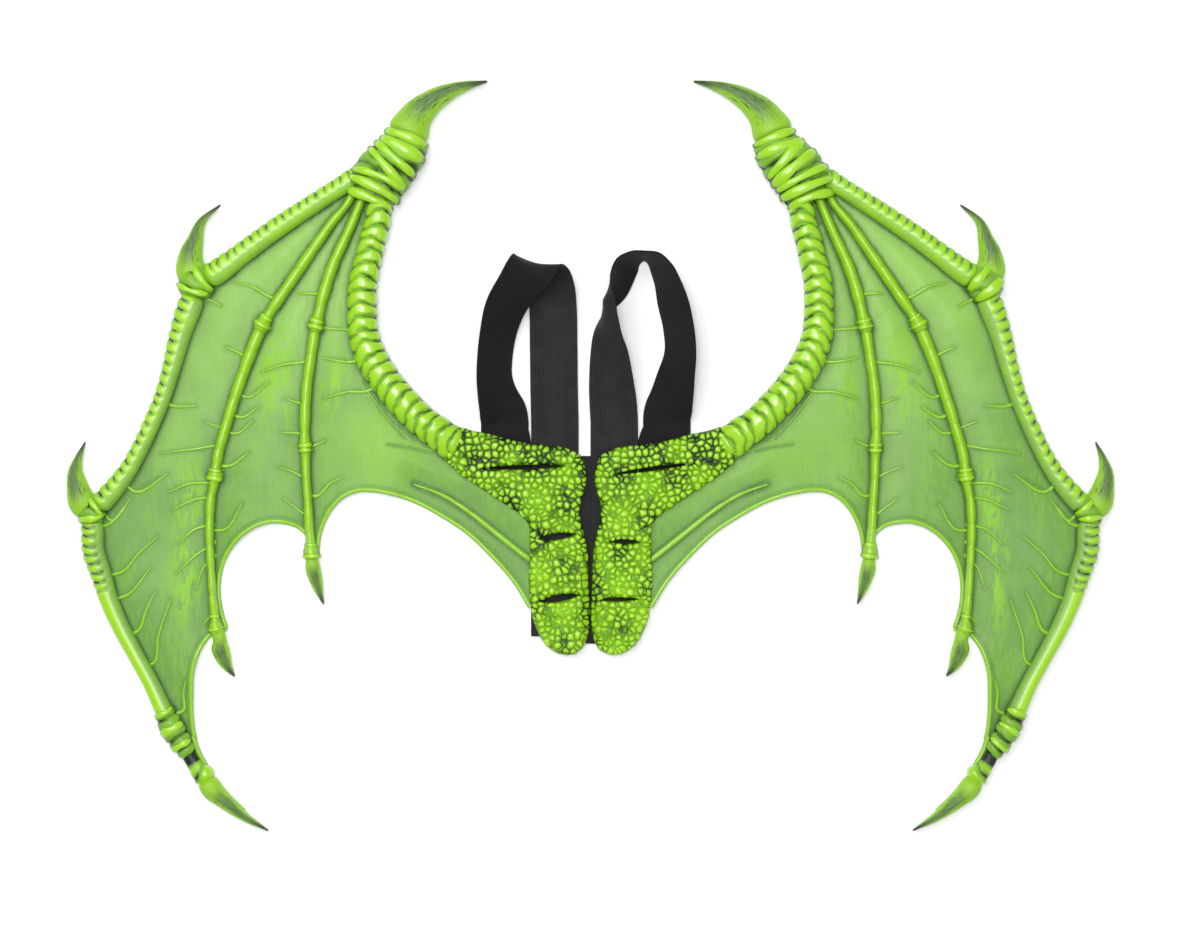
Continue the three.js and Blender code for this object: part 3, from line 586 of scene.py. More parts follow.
# the limbs of one wing, in millimetres on the side of +X: x, y, half width, height, lift off the skin
stations = {
    "arm": [
        [103, 6, 12, 9], [113, 12, 14, 13], [120, 17.5, 13.5, 15.5], [132, 26, 13, 17], [144.5, 38, 13, 17],
        [157.5, 52.5, 13, 17], [168, 67, 13, 17], [176, 81.5, 13, 17], [180.5, 95, 12.5, 17],
        [182, 117.5, 12, 16.5], [181, 140, 11.5, 16], [177, 157.5, 11, 16], [174, 171.5, 11, 16],
        [170, 185, 10.5, 16], [168, 200, 10.5, 16], [166, 214, 10.5, 16],
    ],
    "wristWrap": [
        [177, 202, 18, 15], [174, 209, 22, 19], [168, 221, 23, 22], [158, 233, 22, 23],
        [150, 244, 20, 22], [146, 254, 18, 20], [144, 261, 16.5, 17],
    ],
    "thumbClaw": [
        [149, 250, 15, 14], [146, 257, 16.5, 16], [138, 272, 13, 14.5], [127.5, 282, 10, 12.5, 0.7],
        [111.5, 291, 6.5, 9.5, 1.7], [97, 295.8, 3.5, 6, 2.7], [82, 298.8, 0.8, 2, 3.7],
    ],
    "leadingBone1": [
        [184, 225, 9, 11], [197.5, 216.5, 8, 12], [225, 199, 8, 12], [255, 179, 8.5, 12],
        [280, 160.5, 9, 12.5], [298, 147, 10, 13], [308, 141, 10, 13],
    ],
    "knuckle1": [
        [302, 146.5, 9.5, 11], [307.5, 143, 13, 14.5], [313.5, 138, 14.5, 16],
        [317.5, 131, 13.5, 15], [320, 124, 9.5, 11],
    ],
    "spurClaw1": [
        [314, 137, 10, 11], [319, 149, 12, 12], [319, 160, 9.5, 11.5], [316, 170.5, 7, 10, 0.7],
        [310.5, 186.5, 3.5, 7, 1.7], [295, 200.5, 0.6, 2, 3.2],
    ],
    "leadingBone2": [
        [316, 130, 9.5, 11], [318.5, 123.5, 10, 12], [327.5, 97.5, 9, 11.5], [335, 69, 7.5, 11],
        [341.5, 47.5, 7, 10.5], [349.5, 28, 7, 10.5], [359, 7.5, 7, 10.5], [369.5, -11.5, 7.5, 11],
        [382, -28, 8.5, 12], [394, -41, 9, 12],
    ],
    "knuckle2": [
        [388.5, -35, 8.5, 11], [393.5, -40, 10.5, 13.5], [397, -45, 10.5, 14],
        [398.5, -52, 9.5, 12.5], [398.5, -58, 8.5, 10.5],
    ],
    "spurClaw2": [
        [399, -47, 9, 10], [406, -36, 11, 12], [409.5, -24, 8.5, 11], [411, -12.5, 6, 9, 0.7],
        [408.5, -1.5, 3, 6.5, 1.7], [403, 11.5, 0.6, 2, 3.2],
    ],
    "leadingBone3": [
        [398.5, -50, 8.5, 10.5], [397.5, -60, 9, 11.5], [397, -74, 9, 11.5], [390.5, -95, 8.5, 11],
        [384.5, -114, 7.5, 10.5], [375, -136, 7, 10], [363, -158.5, 6.5, 10], [350.5, -181.5, 6.5, 10],
        [340.5, -203, 7, 10.5], [336, -212, 7, 10.5],
    ],
    "tipWrap": [
        [341.5, -200.5, 7.5, 11], [337, -210.5, 9.5, 12.5], [331, -222, 9.5, 12.5],
        [325, -231.5, 8.5, 11.5], [319.5, -240.5, 6, 9],
    ],
    "tipBall": [
        [322, -236, 6, 7.5], [316, -246, 6, 7.5], [312.5, -250.5, 7.5, 10],
        [308.5, -255, 9, 11.5], [304.5, -260, 8, 10.5],
    ],
    "tipClaw": [
        [307.5, -256.5, 7.5, 9.5], [303, -264.5, 8.5, 11], [291.5, -275.5, 6.5, 9.5, 0.5],
        [276.5, -287.5, 3.8, 6.5, 1.5], [257, -299, 0.6, 2, 3],
    ],
    "innerFingerUpper": [
        [179.5, 213, 4, 8], [183.5, 202.5, 4, 8], [194, 177.5, 4.5, 8.5], [205.5, 152.5, 5, 9],
        [213.5, 127.5, 5.2, 9], [217.5, 110.5, 5, 9], [219, 104, 6.5, 10.5], [220.5, 97, 5, 9],
    ],
    "innerFingerLower": [
        [219.8, 101, 4.8, 8.5], [223, 80, 4.6, 8.5], [226.5, 55, 4.6, 8.5], [228, 30, 4.8, 8.5],
        [228, 14, 4.5, 8.5], [227.5, 6.5, 5.5, 9.5], [227.3, -1, 4.3, 8], [227, -15, 4, 8],
        [225.5, -37.5, 4, 8], [224.5, -57.5, 4.3, 8], [223.4, -70, 4.5, 8], [223, -75, 6.5, 9.5],
        [222, -84, 6.5, 9.5],
    ],
    "innerFingerClaw": [
        [222.6, -79, 4.2, 7], [221.5, -90, 6, 9], [219.5, -98, 5.5, 8.5], [217, -107, 3.6, 6.5, 0.8],
        [213, -118.5, 0.6, 2, 2.4],
    ],
    "outerFingerUpper": [
        [188, 214, 3.6, 8], [192.5, 204, 3.5, 8], [207.5, 185, 4.2, 8.5], [222.5, 163.5, 4.8, 9],
        [237.5, 141.5, 5, 9], [250.5, 122.5, 5, 9], [258.5, 110.5, 5, 9], [261.5, 105.5, 7, 11],
        [265, 97.5, 5.5, 9.5],
    ],
    "outerFingerLower": [
        [263, 102, 5.3, 9], [269.5, 87, 5.5, 9.3], [278, 64, 5, 9], [285.5, 41.5, 5, 9], [292, 20, 4.6, 9],
        [297.5, 0, 4.8, 9], [298.8, -9, 4.6, 9], [299.5, -15, 7, 10.5], [300.5, -22, 4.5, 9],
        [303, -35, 4.2, 8.5], [304, -55, 4, 8.5], [303.5, -77.5, 3.8, 8], [302.5, -97.5, 3.6, 8],
        [301, -117.5, 4, 8], [299.5, -131, 4.6, 8], [299, -136.5, 6.5, 9.5], [297, -143, 6.5, 9.5],
    ],
    "outerFingerClaw": [
        [298, -138, 5.6, 7.5], [295.8, -148, 5.6, 7.5], [295.6, -153, 7, 9.5], [293, -161, 6.2, 9],
        [289.5, -168.5, 3.8, 7, 0.8], [284, -176, 0.6, 2, 2.4],
    ],
    "rootTendon": [
        [47, -84, 2.6, 2.6], [60, -74, 2.6, 2.6], [80, -58, 2.5, 2.6], [100, -42.5, 2.2, 2.5],
        [120, -30.5, 1.8, 2.4], [142, -22.5, 1, 2],
    ],
}

freeEdge = [
  [316, -227], [317.5, -220], [319, -205], [319, -190], [318.5, -175], [315.5, -161.5], [310.5, -150.5],
  [304.5, -143], [291.5, -137], [293.5, -131], [296.5, -118.5], [297.5, -105], [296, -92.5], [292, -80.5],
  [285, -69.5], [275, -60], [265, -54.5], [255, -52], [245, -52.5], [235, -55.5], [227, -62],
  [218.5, -74], [217.5, -66], [214, -54], [207.5, -42], [197.5, -32], [187, -27.5], [175, -27],
  [160, -29.5], [140, -36], [120, -46.5], [100, -59.5], [80, -78], [60, -101],
  [48, -120.5],
]

padOutline = [
  [8, 1], [4.5, -8], [3, -15], [4, -25], [6.5, -33], [8.5, -42], [8, -50], [5.5, -60], [2.5, -75],
  [1.5, -100], [1.5, -140], [4, -150], [10, -156.5], [17.5, -159], [27.5, -157], [35.5, -151],
  [42, -141], [46.5, -128], [48.6, -115], [48.6, -66], [49, -57], [53, -50], [65, -41],
  [80, -31], [95, -21], [107, -12], [116, -3], [119, 2], [115, 14], [104, 23], [95, 20.5], [80, 17.5],
  [60, 12], [40, 9], [20, 6.5],
]

sideNames = {-1: "left", 1: "right"}

# shapes made of numbers


def distances(points):
    return np.concatenate([[0], np.cumsum(np.linalg.norm(np.diff(points, axis=0), axis=1))])


def alongCurve(points, run, at):
    # places on a smooth line through the points; every column goes along with it
    slope = np.gradient(points, run, axis=0)
    i = np.clip(np.searchsorted(run, at) - 1, 0, len(points) - 2)
    span = (run[i + 1] - run[i])[:, None]
    u = (at - run[i])[:, None] / span
    first = (2 * u**3 - 3 * u**2 + 1) * points[i] + (u**3 - 2 * u**2 + u) * span * slope[i]
    second = (3 * u**2 - 2 * u**3) * points[i + 1] + (u**3 - u**2) * span * slope[i + 1]
    return first + second


def smoothPath(rows, step):
    # a smooth line through the rows, cut into steps that are even in plan
    width = max(len(row) for row in rows)
    points = np.array([list(row) + [0.0] * (width - len(row)) for row in rows], float)
    run = distances(points[:, :2])
    return alongCurve(points, run, np.linspace(0, run[-1], max(int(round(run[-1] / step)), 4) + 1))


def spacePath(rows, step):
    # as smoothPath, with steps even in space
    points = np.array(rows, float)
    run = distances(points[:, :3])
    return alongCurve(points, run, np.linspace(0, run[-1], int(round(run[-1] / step)) + 1))


def headings(rows):
    ahead = np.gradient(rows[:, :2], axis=0)
    return ahead / np.linalg.norm(ahead, axis=1)[:, None]


def bell(distance, width):
    return np.exp(-((distance / width) ** 2))


def smoothStep(value, low, high):
    t = np.clip((value - low) / (high - low), 0, 1)
    return t * t * (3 - 2 * t)


def newPiece(name, points, faces, fields=None, edges=(), side=1):
    # a mesh object from millimetre points; side -1 is the mirror image
    points = np.array(points, float) * mm
    points[:, 0] *= side
    if side < 0:
        faces = [tuple(reversed(face)) for face in faces]
    mesh = bpy.data.meshes.new(name)
    mesh.from_pydata(points.tolist(), list(edges), faces)
    for label, values in (fields or {}).items():
        mesh.attributes.new(label, "FLOAT", "POINT").data.foreach_set("value", np.asarray(values, np.float32))
    mesh.update()
    piece = bpy.data.objects.new(name, mesh)
    bpy.context.scene.collection.objects.link(piece)
    return piece


def tubeFaces(rings, count):
    # quads between equal rings, then a fan to the two end points stored after them
    faces = []
    for r in range(rings - 1):
        base = r * count
        for i in range(count):
            j = (i + 1) % count
            faces.append((base + i, base + count + i, base + count + j, base + j))
    first, last, top = rings * count, rings * count + 1, (rings - 1) * count
    for i in range(count):
        j = (i + 1) % count
        faces.append((first, i, j))
        faces.append((last, top + j, top + i))
    return faces


def arc(share):
    # a quarter round, from 0 up to 1
    return np.sqrt(1 - (1 - share) ** 2)


# foot and sink: how high a limb starts and how far it goes into the skin; blunt: how round its ends are
limbShape = {"foot": 2.3, "sink": 1.4, "blunt": 0.75, "upper": 0.7, "lower": 0.3, "boxy": 0.88, "flat": 0.6}


def limbSurface(rows, sides, keel=0.0, peak=0.92):
    # points and fields of a limb with a soft, flat-bottomed section and closed, rounded ends
    ahead = headings(rows)
    run = distances(rows[:, :2])
    ease = np.minimum(rows[:, 2], rows[:, 3]) * limbShape["blunt"]
    closing = arc(np.clip(run / ease, 0.02, 1)) * arc(np.clip((run[-1] - run) / ease, 0.02, 1))
    turn = np.linspace(0, 2 * math.pi, sides, endpoint=False)
    cosine, sine = np.cos(turn), np.sin(turn)
    across = np.sign(cosine) * np.abs(cosine) ** limbShape["boxy"]
    half, height = rows[:, 2] * closing, rows[:, 3] * closing
    lift = rows[:, 4] if rows.shape[1] > 4 else 0 * rows[:, 2]
    middle = limbShape["foot"] + lift + limbShape["lower"] * rows[:, 3]
    upper = limbShape["upper"] * height[:, None] * np.abs(sine) ** peak * (1 + keel * (1 - np.abs(across)))
    below = limbShape["lower"] * height + limbShape["sink"] * closing
    lower = -below[:, None] * np.abs(sine) ** limbShape["flat"]
    z = middle[:, None] + np.where(sine >= 0, upper, lower)
    x = rows[:, 0, None] + ahead[:, 1, None] * across * half[:, None]
    y = rows[:, 1, None] - ahead[:, 0, None] * across * half[:, None]
    ring = np.stack([x, y, z], axis=2).reshape(-1, 3)
    ends = np.array([[*rows[0, :2], middle[0]], [*rows[-1, :2], middle[-1]]])
    up = np.tile(sine, len(rows))
    fields = {
        "along": np.repeat(run, sides) * mm,
        "share": np.repeat(run / run[-1], sides),
        "across": np.tile(across, len(rows)),
        "up": up,
        "relief": 0.3 + 0.7 * smoothStep(up, -0.4, 0.25),
    }
    ended = {"along": (0, run[-1] * mm), "share": (0, 1), "relief": (0.4, 0.4)}
    fields = {label: np.concatenate([values, ended.get(label, (0, 0))]) for label, values in fields.items()}
    return np.concatenate([ring, ends]), tubeFaces(len(rows), sides), fields


def heightOn(rows, x, y):
    # how high a limb's painted face stands above a point beside its centreline
    gap = np.hypot(rows[None, :, 0] - x[:, None], rows[None, :, 1] - y[:, None])
    near = gap.argmin(axis=1)
    across = np.clip(gap[np.arange(len(x)), near] / rows[near, 2], 0, 1)
    lift = rows[near, 4] if rows.shape[1] > 4 else 0
    rise = limbShape["lower"] + limbShape["upper"] * np.sqrt(1 - across**2.4)
    return limbShape["foot"] + lift + rows[near, 3] * rise


def pieceName(side, name):
    return sideNames[side] + name[0].upper() + name[1:]


def nodeName(side, name):
    # what the frame calls the same part
    return sideNames[side] + "_" + "".join("_" + k.lower() if k.isupper() or k.isdigit() else k for k in name)


def place(piece, body, slot, *nodes):
    piece.data.update()
    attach(piece, body)
    if nodes:
        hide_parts(*nodes)


# ringed and smooth limbs

ringSizes = ("Pitch", "Depth", "Bow", "Slant", "Wander", "Sharpness", "Side Low", "Side High", "Share High")
rings = {
    "arm": (0.0106, 0.0031, 0.0050, 0.0022, 0.010, 5.0),
    "wristWrap": (0.0086, 0.0034, 0.001, 0.002, 0.011, 3.2),
    "leadingBone1": (0.0078, 0.0022, 0.003, 0.001, 0.007, 4.0, 0.05, -0.5),
    "leadingBone2": (0.0086, 0.0022, 0.002, 0.0, 0.006, 3.5, 0.15, -0.35),
    "leadingBone3": (0.0074, 0.0021, 0.003, 0.0, 0.005, 3.0, 0.75, 0.3, 0.36),
    "knuckle1": (0.011, 0.0024, 0.004, 0.003, 0.012, 4.0),
    "knuckle2": (0.009, 0.002, 0.003, 0.002, 0.010, 3.0),
    "tipWrap": (0.0092, 0.0028, 0.001, 0.001, 0.006, 3.6),
    "tipBall": (0.02, 0.0012, 0.002, 0.002, 0.01, 4.0),
}
rings = {name: dict(zip(ringSizes, row)) for name, row in rings.items()}
plainRings = {"Pitch": 0.02, "Depth": 0.0003, "Bow": 0.001, "Slant": 0.0, "Wander": 0.02, "Sharpness": 2.0,
              "Wash": 0.15}
bonePale = {"leadingBone1": 0.25, "leadingBone2": 0.35, "leadingBone3": 0.42}  # how dull the inner flank is


def makeLimb(name, side):
    thin = "Finger" in name or name == "rootTendon"
    step, sides = (0.9, 40) if name in ("arm", "wristWrap") else (1.0, 18) if thin else (0.9, 30)
    rows = smoothPath(stations[name], step)
    points, faces, fields = limbSurface(rows, sides, peak=1.9 if thin else 0.92)
    across, share, up = fields["across"], fields["share"], fields["up"]
    if thin:
        fields["relief"] = 0.42 + 0.58 * smoothStep(up, 0.35, 0.82)
    if name.startswith("leading"):
        flank = smoothStep(across, 0.25, 0.4) * bonePale[name]
        line = bell(across - 0.24, 0.09) * smoothStep(share, 0.02, 0.1) * (up > 0)
        fields["relief"] = fields["relief"] * (1 - flank) * (1 - 0.75 * line)
        points[:, 2] -= 1.1 * line
    if name in ("wristWrap", "knuckle1", "knuckle2", "tipWrap"):
        fields["relief"] = fields["relief"] * 0.55  # dark between the bands wound over it
    if name == "tipBall":
        fields["relief"] = fields["relief"] * (0.05 + 0.95 * smoothStep(share, 0.3, 0.5))
    piece = newPiece(pieceName(side, name), points, faces, fields, side=side)
    look = "ridge" if name == "rootTendon" else "finger" if thin else "bone" if "Bone" in name else "lime"
    runTree(piece, trees["rings"], dict(rings.get(name, plainRings), Finish=finishes[look], Seed=float(side)))
    place(piece, sideNames[side] + "_wing", "lime_latex", nodeName(side, name))


def makeClawPiece(name, side):
    rows = smoothPath(stations[name], 0.8)
    points, faces, fields = limbSurface(rows, 26, keel=0.12)
    piece = newPiece(pieceName(side, name), points, faces, fields, side=side)
    runTree(piece, trees["rings"], dict(plainRings, Depth=0.0002, Finish=finishes["claw"], Seed=float(side)))
    place(piece, sideNames[side] + "_wing", "claw_latex", nodeName(side, name))


for side in sideNames:
    for name in stations:
        (makeClawPiece if "Claw" in name else makeLimb)(name, side)
print("limbs made")

# bands wound over the joints

bands = {
    "wristWrap": {"shares": (0.05, 0.18, 0.31, 0.46, 0.6, 0.74, 0.88), "radius": 4.3, "tilt": 0.2, "over": 0.98},
    "knuckle1": {"shares": (0.3, 0.72), "radius": 3.4, "tilt": 0.3, "over": 0.95},
    "knuckle2": {"shares": (0.3, 0.7), "radius": 2.6, "tilt": 0.3, "over": 0.95},
    "tipWrap": {"shares": (0.1, 0.42, 0.74), "radius": 2.8, "tilt": 0.2, "over": 0.98},
    "innerFingerUpper": {"shares": (0.915, 0.955), "radius": 1.8, "tilt": 0.1, "over": 1.1},
    "outerFingerUpper": {"shares": (0.90, 0.945), "radius": 1.9, "tilt": 0.1, "over": 1.1},
    "innerFingerLower": {"shares": (0.5, 0.525, 0.93, 0.98), "radius": 1.6, "tilt": 0.1, "over": 1.1},
    "outerFingerLower": {"shares": (0.475, 0.5, 0.94, 0.98), "radius": 1.7, "tilt": 0.1, "over": 1.1},
}


bandShape = {"Flatness": 0.5, "Sides": 14, "Relief": 1.0, "Flank": 0.1}
bandSteps = 24


def makeBands(side):
    chance = np.random.default_rng(7 + side)
    points, edges, radii = [], [], []
    for name, band in bands.items():
        rows = smoothPath(stations[name], 0.6)
        ahead = headings(rows)
        for share in band["shares"]:
            i = int(share * (len(rows) - 1))
            lean = chance.uniform(-1, 1) * band["tilt"]
            bend = chance.uniform(-0.1, 0.7) * band["radius"]
            half = rows[i, 2] * band["over"]
            t = np.linspace(-1, 1, bandSteps + 1)
            right = np.array([ahead[i, 1], -ahead[i, 0]])
            back = ahead[i] * (lean * t * half - bend * (t**2 - 0.4))[:, None]
            line = rows[i, :2] + right * (t * half)[:, None] + back
            wide = band["radius"] * (0.65 + 0.6 * chance.random()) * np.sqrt(1.04 - t**4 * 0.75)
            wide = wide * (1 + 0.18 * np.sin(chance.uniform(2, 5) * t + chance.uniform(0, 6)))
            z = heightOn(rows, line[:, 0], line[:, 1]) - wide * 0.22
            start = len(points)
            points += np.column_stack([line, z]).tolist()
            radii += (wide * mm).tolist()
            edges += [(start + k, start + k + 1) for k in range(bandSteps)]
    piece = newPiece(pieceName(side, "jointBands"), points, [], {"radius": radii}, edges, side)
    runTree(piece, trees["ridge"], dict(bandShape, Finish=finishes["lime"]))
    place(piece, sideNames[side] + "_wing", "lime_latex")


for side in sideNames:
    makeBands(side)
print("bands made")

# the stretched skin with its creases, veins and beaded edge

skin = {
    "grid": 1.9,
    "thickness": 1.3,
    "top": 2.2,
    "rise": 0.9,
    "swell": 2.4,
    "curl": 1.2,  # how far the free edge curls up
    "crease": 0.7,
    "held": 13,  # how far from a limb the skin is held down
    "patches": [(252, 65, 22, 48), (322, -95, 14, 48), (318, -35, 20, 34), (205, 60, 14, 26)],
    "folds": [
        [(121, 1), (145, 7), (162, 9)],
        [(175, 50), (160, 30), (140, 12)],
        [(182, 60), (166, 34), (148, 14)],
        [(47, -88), (60, -78), (80, -62), (100, -46.5), (120, -34), (142, -26)],
        [(47, -80), (60, -70), (80, -54), (100, -38.5), (120, -26.5), (142, -19)],
    ],
}
veins = [
    [(290, 133), (275, 129), (258, 120)], [(240, 124), (222, 123)], [(219, 97), (200, 95), (186, 94)],
    [(220, 72), (192, 70)], [(218, 40), (200, 45), (180, 47.5)], [(308, 118), (300, 114)],
    [(296, 81), (281, 73)], [(268, 61), (250, 67), (231, 70)], [(280, 41), (262, 53)], [(286, 25), (270, 33)],
    [(288, 12), (275, 22)], [(250, 40), (233, 38)], [(338, 34), (320, 34)], [(313, 21), (295, 16)],
    [(252, 13), (233, 8)], [(230, 2), (217, 6)], [(348, -4), (325, -1), (301, -1)], [(294, -14), (278, -3)],
    [(342, -35), (325, -28), (305, -26)], [(339, -49), (322, -41), (305, -36)], [(370, -34), (342, -20)],
    [(253, -15), (240, -20), (230, -28)], [(203, -23), (213, -28), (224, -38)], [(250, -40), (229, -55)],
    [(283, -44), (298, -65)], [(334, -76), (320, -64), (306, -61)], [(335, -99), (320, -85), (306, -74)],
    [(320, -112), (314, -95), (305, -85)], [(314, -140), (302, -127)], [(380, -99), (365, -83), (350, -70)],
    [(377, -118), (356, -95)], [(367, -146), (360, -130), (353, -115)],
    [(355, -172), (350, -150), (340, -120)], [(331, -210), (330, -195), (328, -185)],
    [(391, -61), (377, -46)], [(389, -57), (372, -40)],
]


def edgeOf(name, sign, first, last):
    rows = np.array([row[:3] for row in stations[name]], float)
    ahead = headings(rows)
    out = sign * (rows[:, 2] - 2.5)
    line = rows[:, :2] + np.column_stack([ahead[:, 1] * out, -ahead[:, 0] * out])
    return line[first : last + 1].tolist()


def skinOutline():
    corner = [
        [44, -124], [44, -58], [54, -45], [64, -37.5], [73, -33], [82, -26], [95, -17], [106, -8],
    ]
    return (
        corner
        + edgeOf("arm", -1, 1, 14)
        + edgeOf("wristWrap", -1, 1, 2)
        + [[172, 236], [184, 230]]
        + edgeOf("leadingBone1", -1, 1, 5)
        + edgeOf("knuckle1", -1, 1, 3)
        + edgeOf("leadingBone2", -1, 1, 8)
        + edgeOf("knuckle2", -1, 1, 3)
        + edgeOf("leadingBone3", -1, 1, 8)
        + edgeOf("tipWrap", -1, 1, 3)
        + smoothPath(freeEdge, 2.5).tolist()
    )


def fillOutline(outlines, spacing, jitter=0.25, seed=3):
    # triangles inside the first outline and outside the others, on a slightly uneven grid
    edge = np.concatenate([np.array(o, float)[:, :2] for o in outlines])
    links, start = [], 0
    for outline in outlines:
        count = len(outline)
        links += [(start + i, start + (i + 1) % count) for i in range(count)]
        start += count
    low, high = edge.min(0), edge.max(0)
    rows = np.arange(low[1], high[1], spacing * 0.866)
    grid = []
    for k, y in enumerate(rows):
        x = np.arange(low[0] + (k % 2) * spacing / 2, high[0], spacing)
        grid.append(np.column_stack([x, np.full(len(x), y)]))
    grid = np.concatenate(grid)
    grid += np.random.default_rng(seed).uniform(-jitter, jitter, grid.shape) * spacing
    keep = inside(grid, outlines[0])
    for hole in outlines[1:]:
        keep &= ~inside(grid, hole)
    gap = lineGap(grid[keep], [list(outline) + list(outline[:1]) for outline in outlines])
    grid = grid[keep][gap > spacing * 0.45]
    points = np.concatenate([edge, grid])
    made = delaunay_2d_cdt([tuple(p) for p in points.tolist()], links, [], 0, 1e-5)
    flat = np.array([tuple(p) for p in made[0]], float)
    faces = [tuple(face) for face in made[2]]
    middles = np.array([flat[list(face)].mean(axis=0) for face in faces])
    keep = inside(middles, outlines[0])
    for hole in outlines[1:]:
        keep &= ~inside(middles, hole)
    faces = [face for face, kept in zip(faces, keep) if kept]
    used = np.unique([i for face in faces for i in face])
    remap = -np.ones(len(flat), int)
    remap[used] = np.arange(len(used))
    return flat[used], [tuple(int(remap[i]) for i in face) for face in faces]


def inside(points, outline):
    poly = np.array(outline, float)[:, :2]
    hit = np.zeros(len(points), bool)
    for (xa, ya), (xb, yb) in zip(poly, np.roll(poly, -1, axis=0)):
        crosses = (ya > points[:, 1]) != (yb > points[:, 1])
        if abs(yb - ya) > 1e-12:
            hit ^= crosses & (points[:, 0] < (xb - xa) * (points[:, 1] - ya) / (yb - ya) + xa)
    return hit


def lineGap(points, lines):
    # distance from each point to the nearest of some open lines
    best = np.full(len(points), 1e9)
    for line in lines:
        line = np.array(line, float)[:, :2]
        for a, b in zip(line[:-1], line[1:]):
            span = b - a
            t = np.clip(((points - a) @ span) / max(span @ span, 1e-9), 0, 1)
            best = np.minimum(best, np.linalg.norm(points - a - t[:, None] * span, axis=1))
    return best


def closedShell(flat, faces, top, bottom):
    # two skins over the same triangles, joined round their shared rim
    counts = {}
    for face in faces:
        for i, j in zip(face, face[1:] + face[:1]):
            counts[(i, j)] = counts.get((i, j), 0) + 1
    rim = [(i, j) for (i, j) in counts if (j, i) not in counts]
    size = len(flat)
    points = np.concatenate([np.column_stack([flat, top]), np.column_stack([flat, bottom])])
    under = [tuple(size + i for i in reversed(face)) for face in faces]
    walls = [(j, i, size + i, size + j) for i, j in rim]
    return points, list(faces) + under + walls


def upward(flat, faces):
    (xa, ya), (xb, yb), (xc, yc) = (flat[i] for i in faces[0])
    turn = (xb - xa) * (yc - ya) - (xc - xa) * (yb - ya)
    return faces if turn > 0 else [tuple(reversed(face)) for face in faces]


limbLines = {name: smoothPath(stations[name], 4.0) for name in stations if "Claw" not in name}


def limbGap(points):
    best = np.full(len(points), 1e9)
    for rows in limbLines.values():
        away = np.linalg.norm(points[:, None] - rows[None, :, :2], axis=2) - rows[None, :, 2]
        best = np.minimum(best, away.min(axis=1))
    return np.maximum(best, 0)


def makeSkinPiece(side):
    flat, faces = fillOutline([skinOutline()], skin["grid"], seed=5 + side)
    faces = upward(flat, faces)
    gap = limbGap(flat)
    x, y = flat[:, 0], flat[:, 1]
    rim, fold = lineGap(flat, [freeEdge]), lineGap(flat, skin["folds"])
    beside = lineGap(flat, [rootedVein(vein) for vein in veins])
    waves = np.sin(x / 17 + y / 31 + side) + np.sin(y / 19 - x / 43 + 2 * side)
    waves += 0.6 * np.sin(x / 9.5 + y / 12.5)
    rise = skin["rise"] + skin["swell"] * 0.5 * (waves / 2.6 + 1)
    rise += skin["curl"] * bell(rim, 9) - skin["crease"] * bell(fold, 1.8)
    top = skin["top"] + (1 - bell(gap, skin["held"])) * rise
    points, shell = closedShell(flat, faces, top, top - skin["thickness"])
    crease = bell(gap, 1.9) * 0.75 + bell(gap, 6.5) * 0.25
    for line in (bell(fold, 1.4) * 0.8, bell(rim - 3.4, 1.3) * 0.5, bell(beside, 2.4) * 0.45):
        crease = np.maximum(crease, line)
    patch = np.full(len(flat), 0.22)
    for px, py, wide, tall in skin["patches"]:
        patch = np.maximum(patch, bell(x - px, wide) * bell(y - py, tall))
    root = bell(x - 165, 42) * bell(y - 2, 34)
    fields = {"crease": crease, "patch": patch, "root": root}
    fields = {label: np.tile(values, 2) for label, values in fields.items()}
    piece = newPiece(pieceName(side, "wingSkin"), points, shell, fields, side=side)
    piece.data.shade_smooth()
    piece.data.materials.append(finishes["skin"])
    place(piece, sideNames[side] + "_wing", "skin_latex", sideNames[side] + "_wing_skin")
    return flat, top


def nearestHeight(flat, top, line):
    away = np.linalg.norm(line[:, None] - flat[None], axis=2)
    return top[away.argmin(axis=1)]


def rootedVein(vein):
    # the vein moved to the even wing, with its root carried on into the nearest limb
    line = np.array([(vx - 5, vy + 6) for vx, vy in vein], float)
    ends = limbGap(line[[0, -1]])
    if ends[1] < ends[0]:
        line = line[::-1]
    root = line[0]
    near = min(
        (rows[np.linalg.norm(rows[:, :2] - root, axis=1).argmin(), :2] for rows in limbLines.values()),
        key=lambda point: np.linalg.norm(point - root),
    )
    gap = limbGap(root[None])[0]
    if gap < 22:
        reach = min(1, (gap + 2.5) / max(np.linalg.norm(near - root), 1))
        line = np.concatenate([[root + (near - root) * reach], line])
    return line


veinShape = {"Flatness": 0.8, "Sides": 8, "Relief": 0.95, "Flank": 0.35}


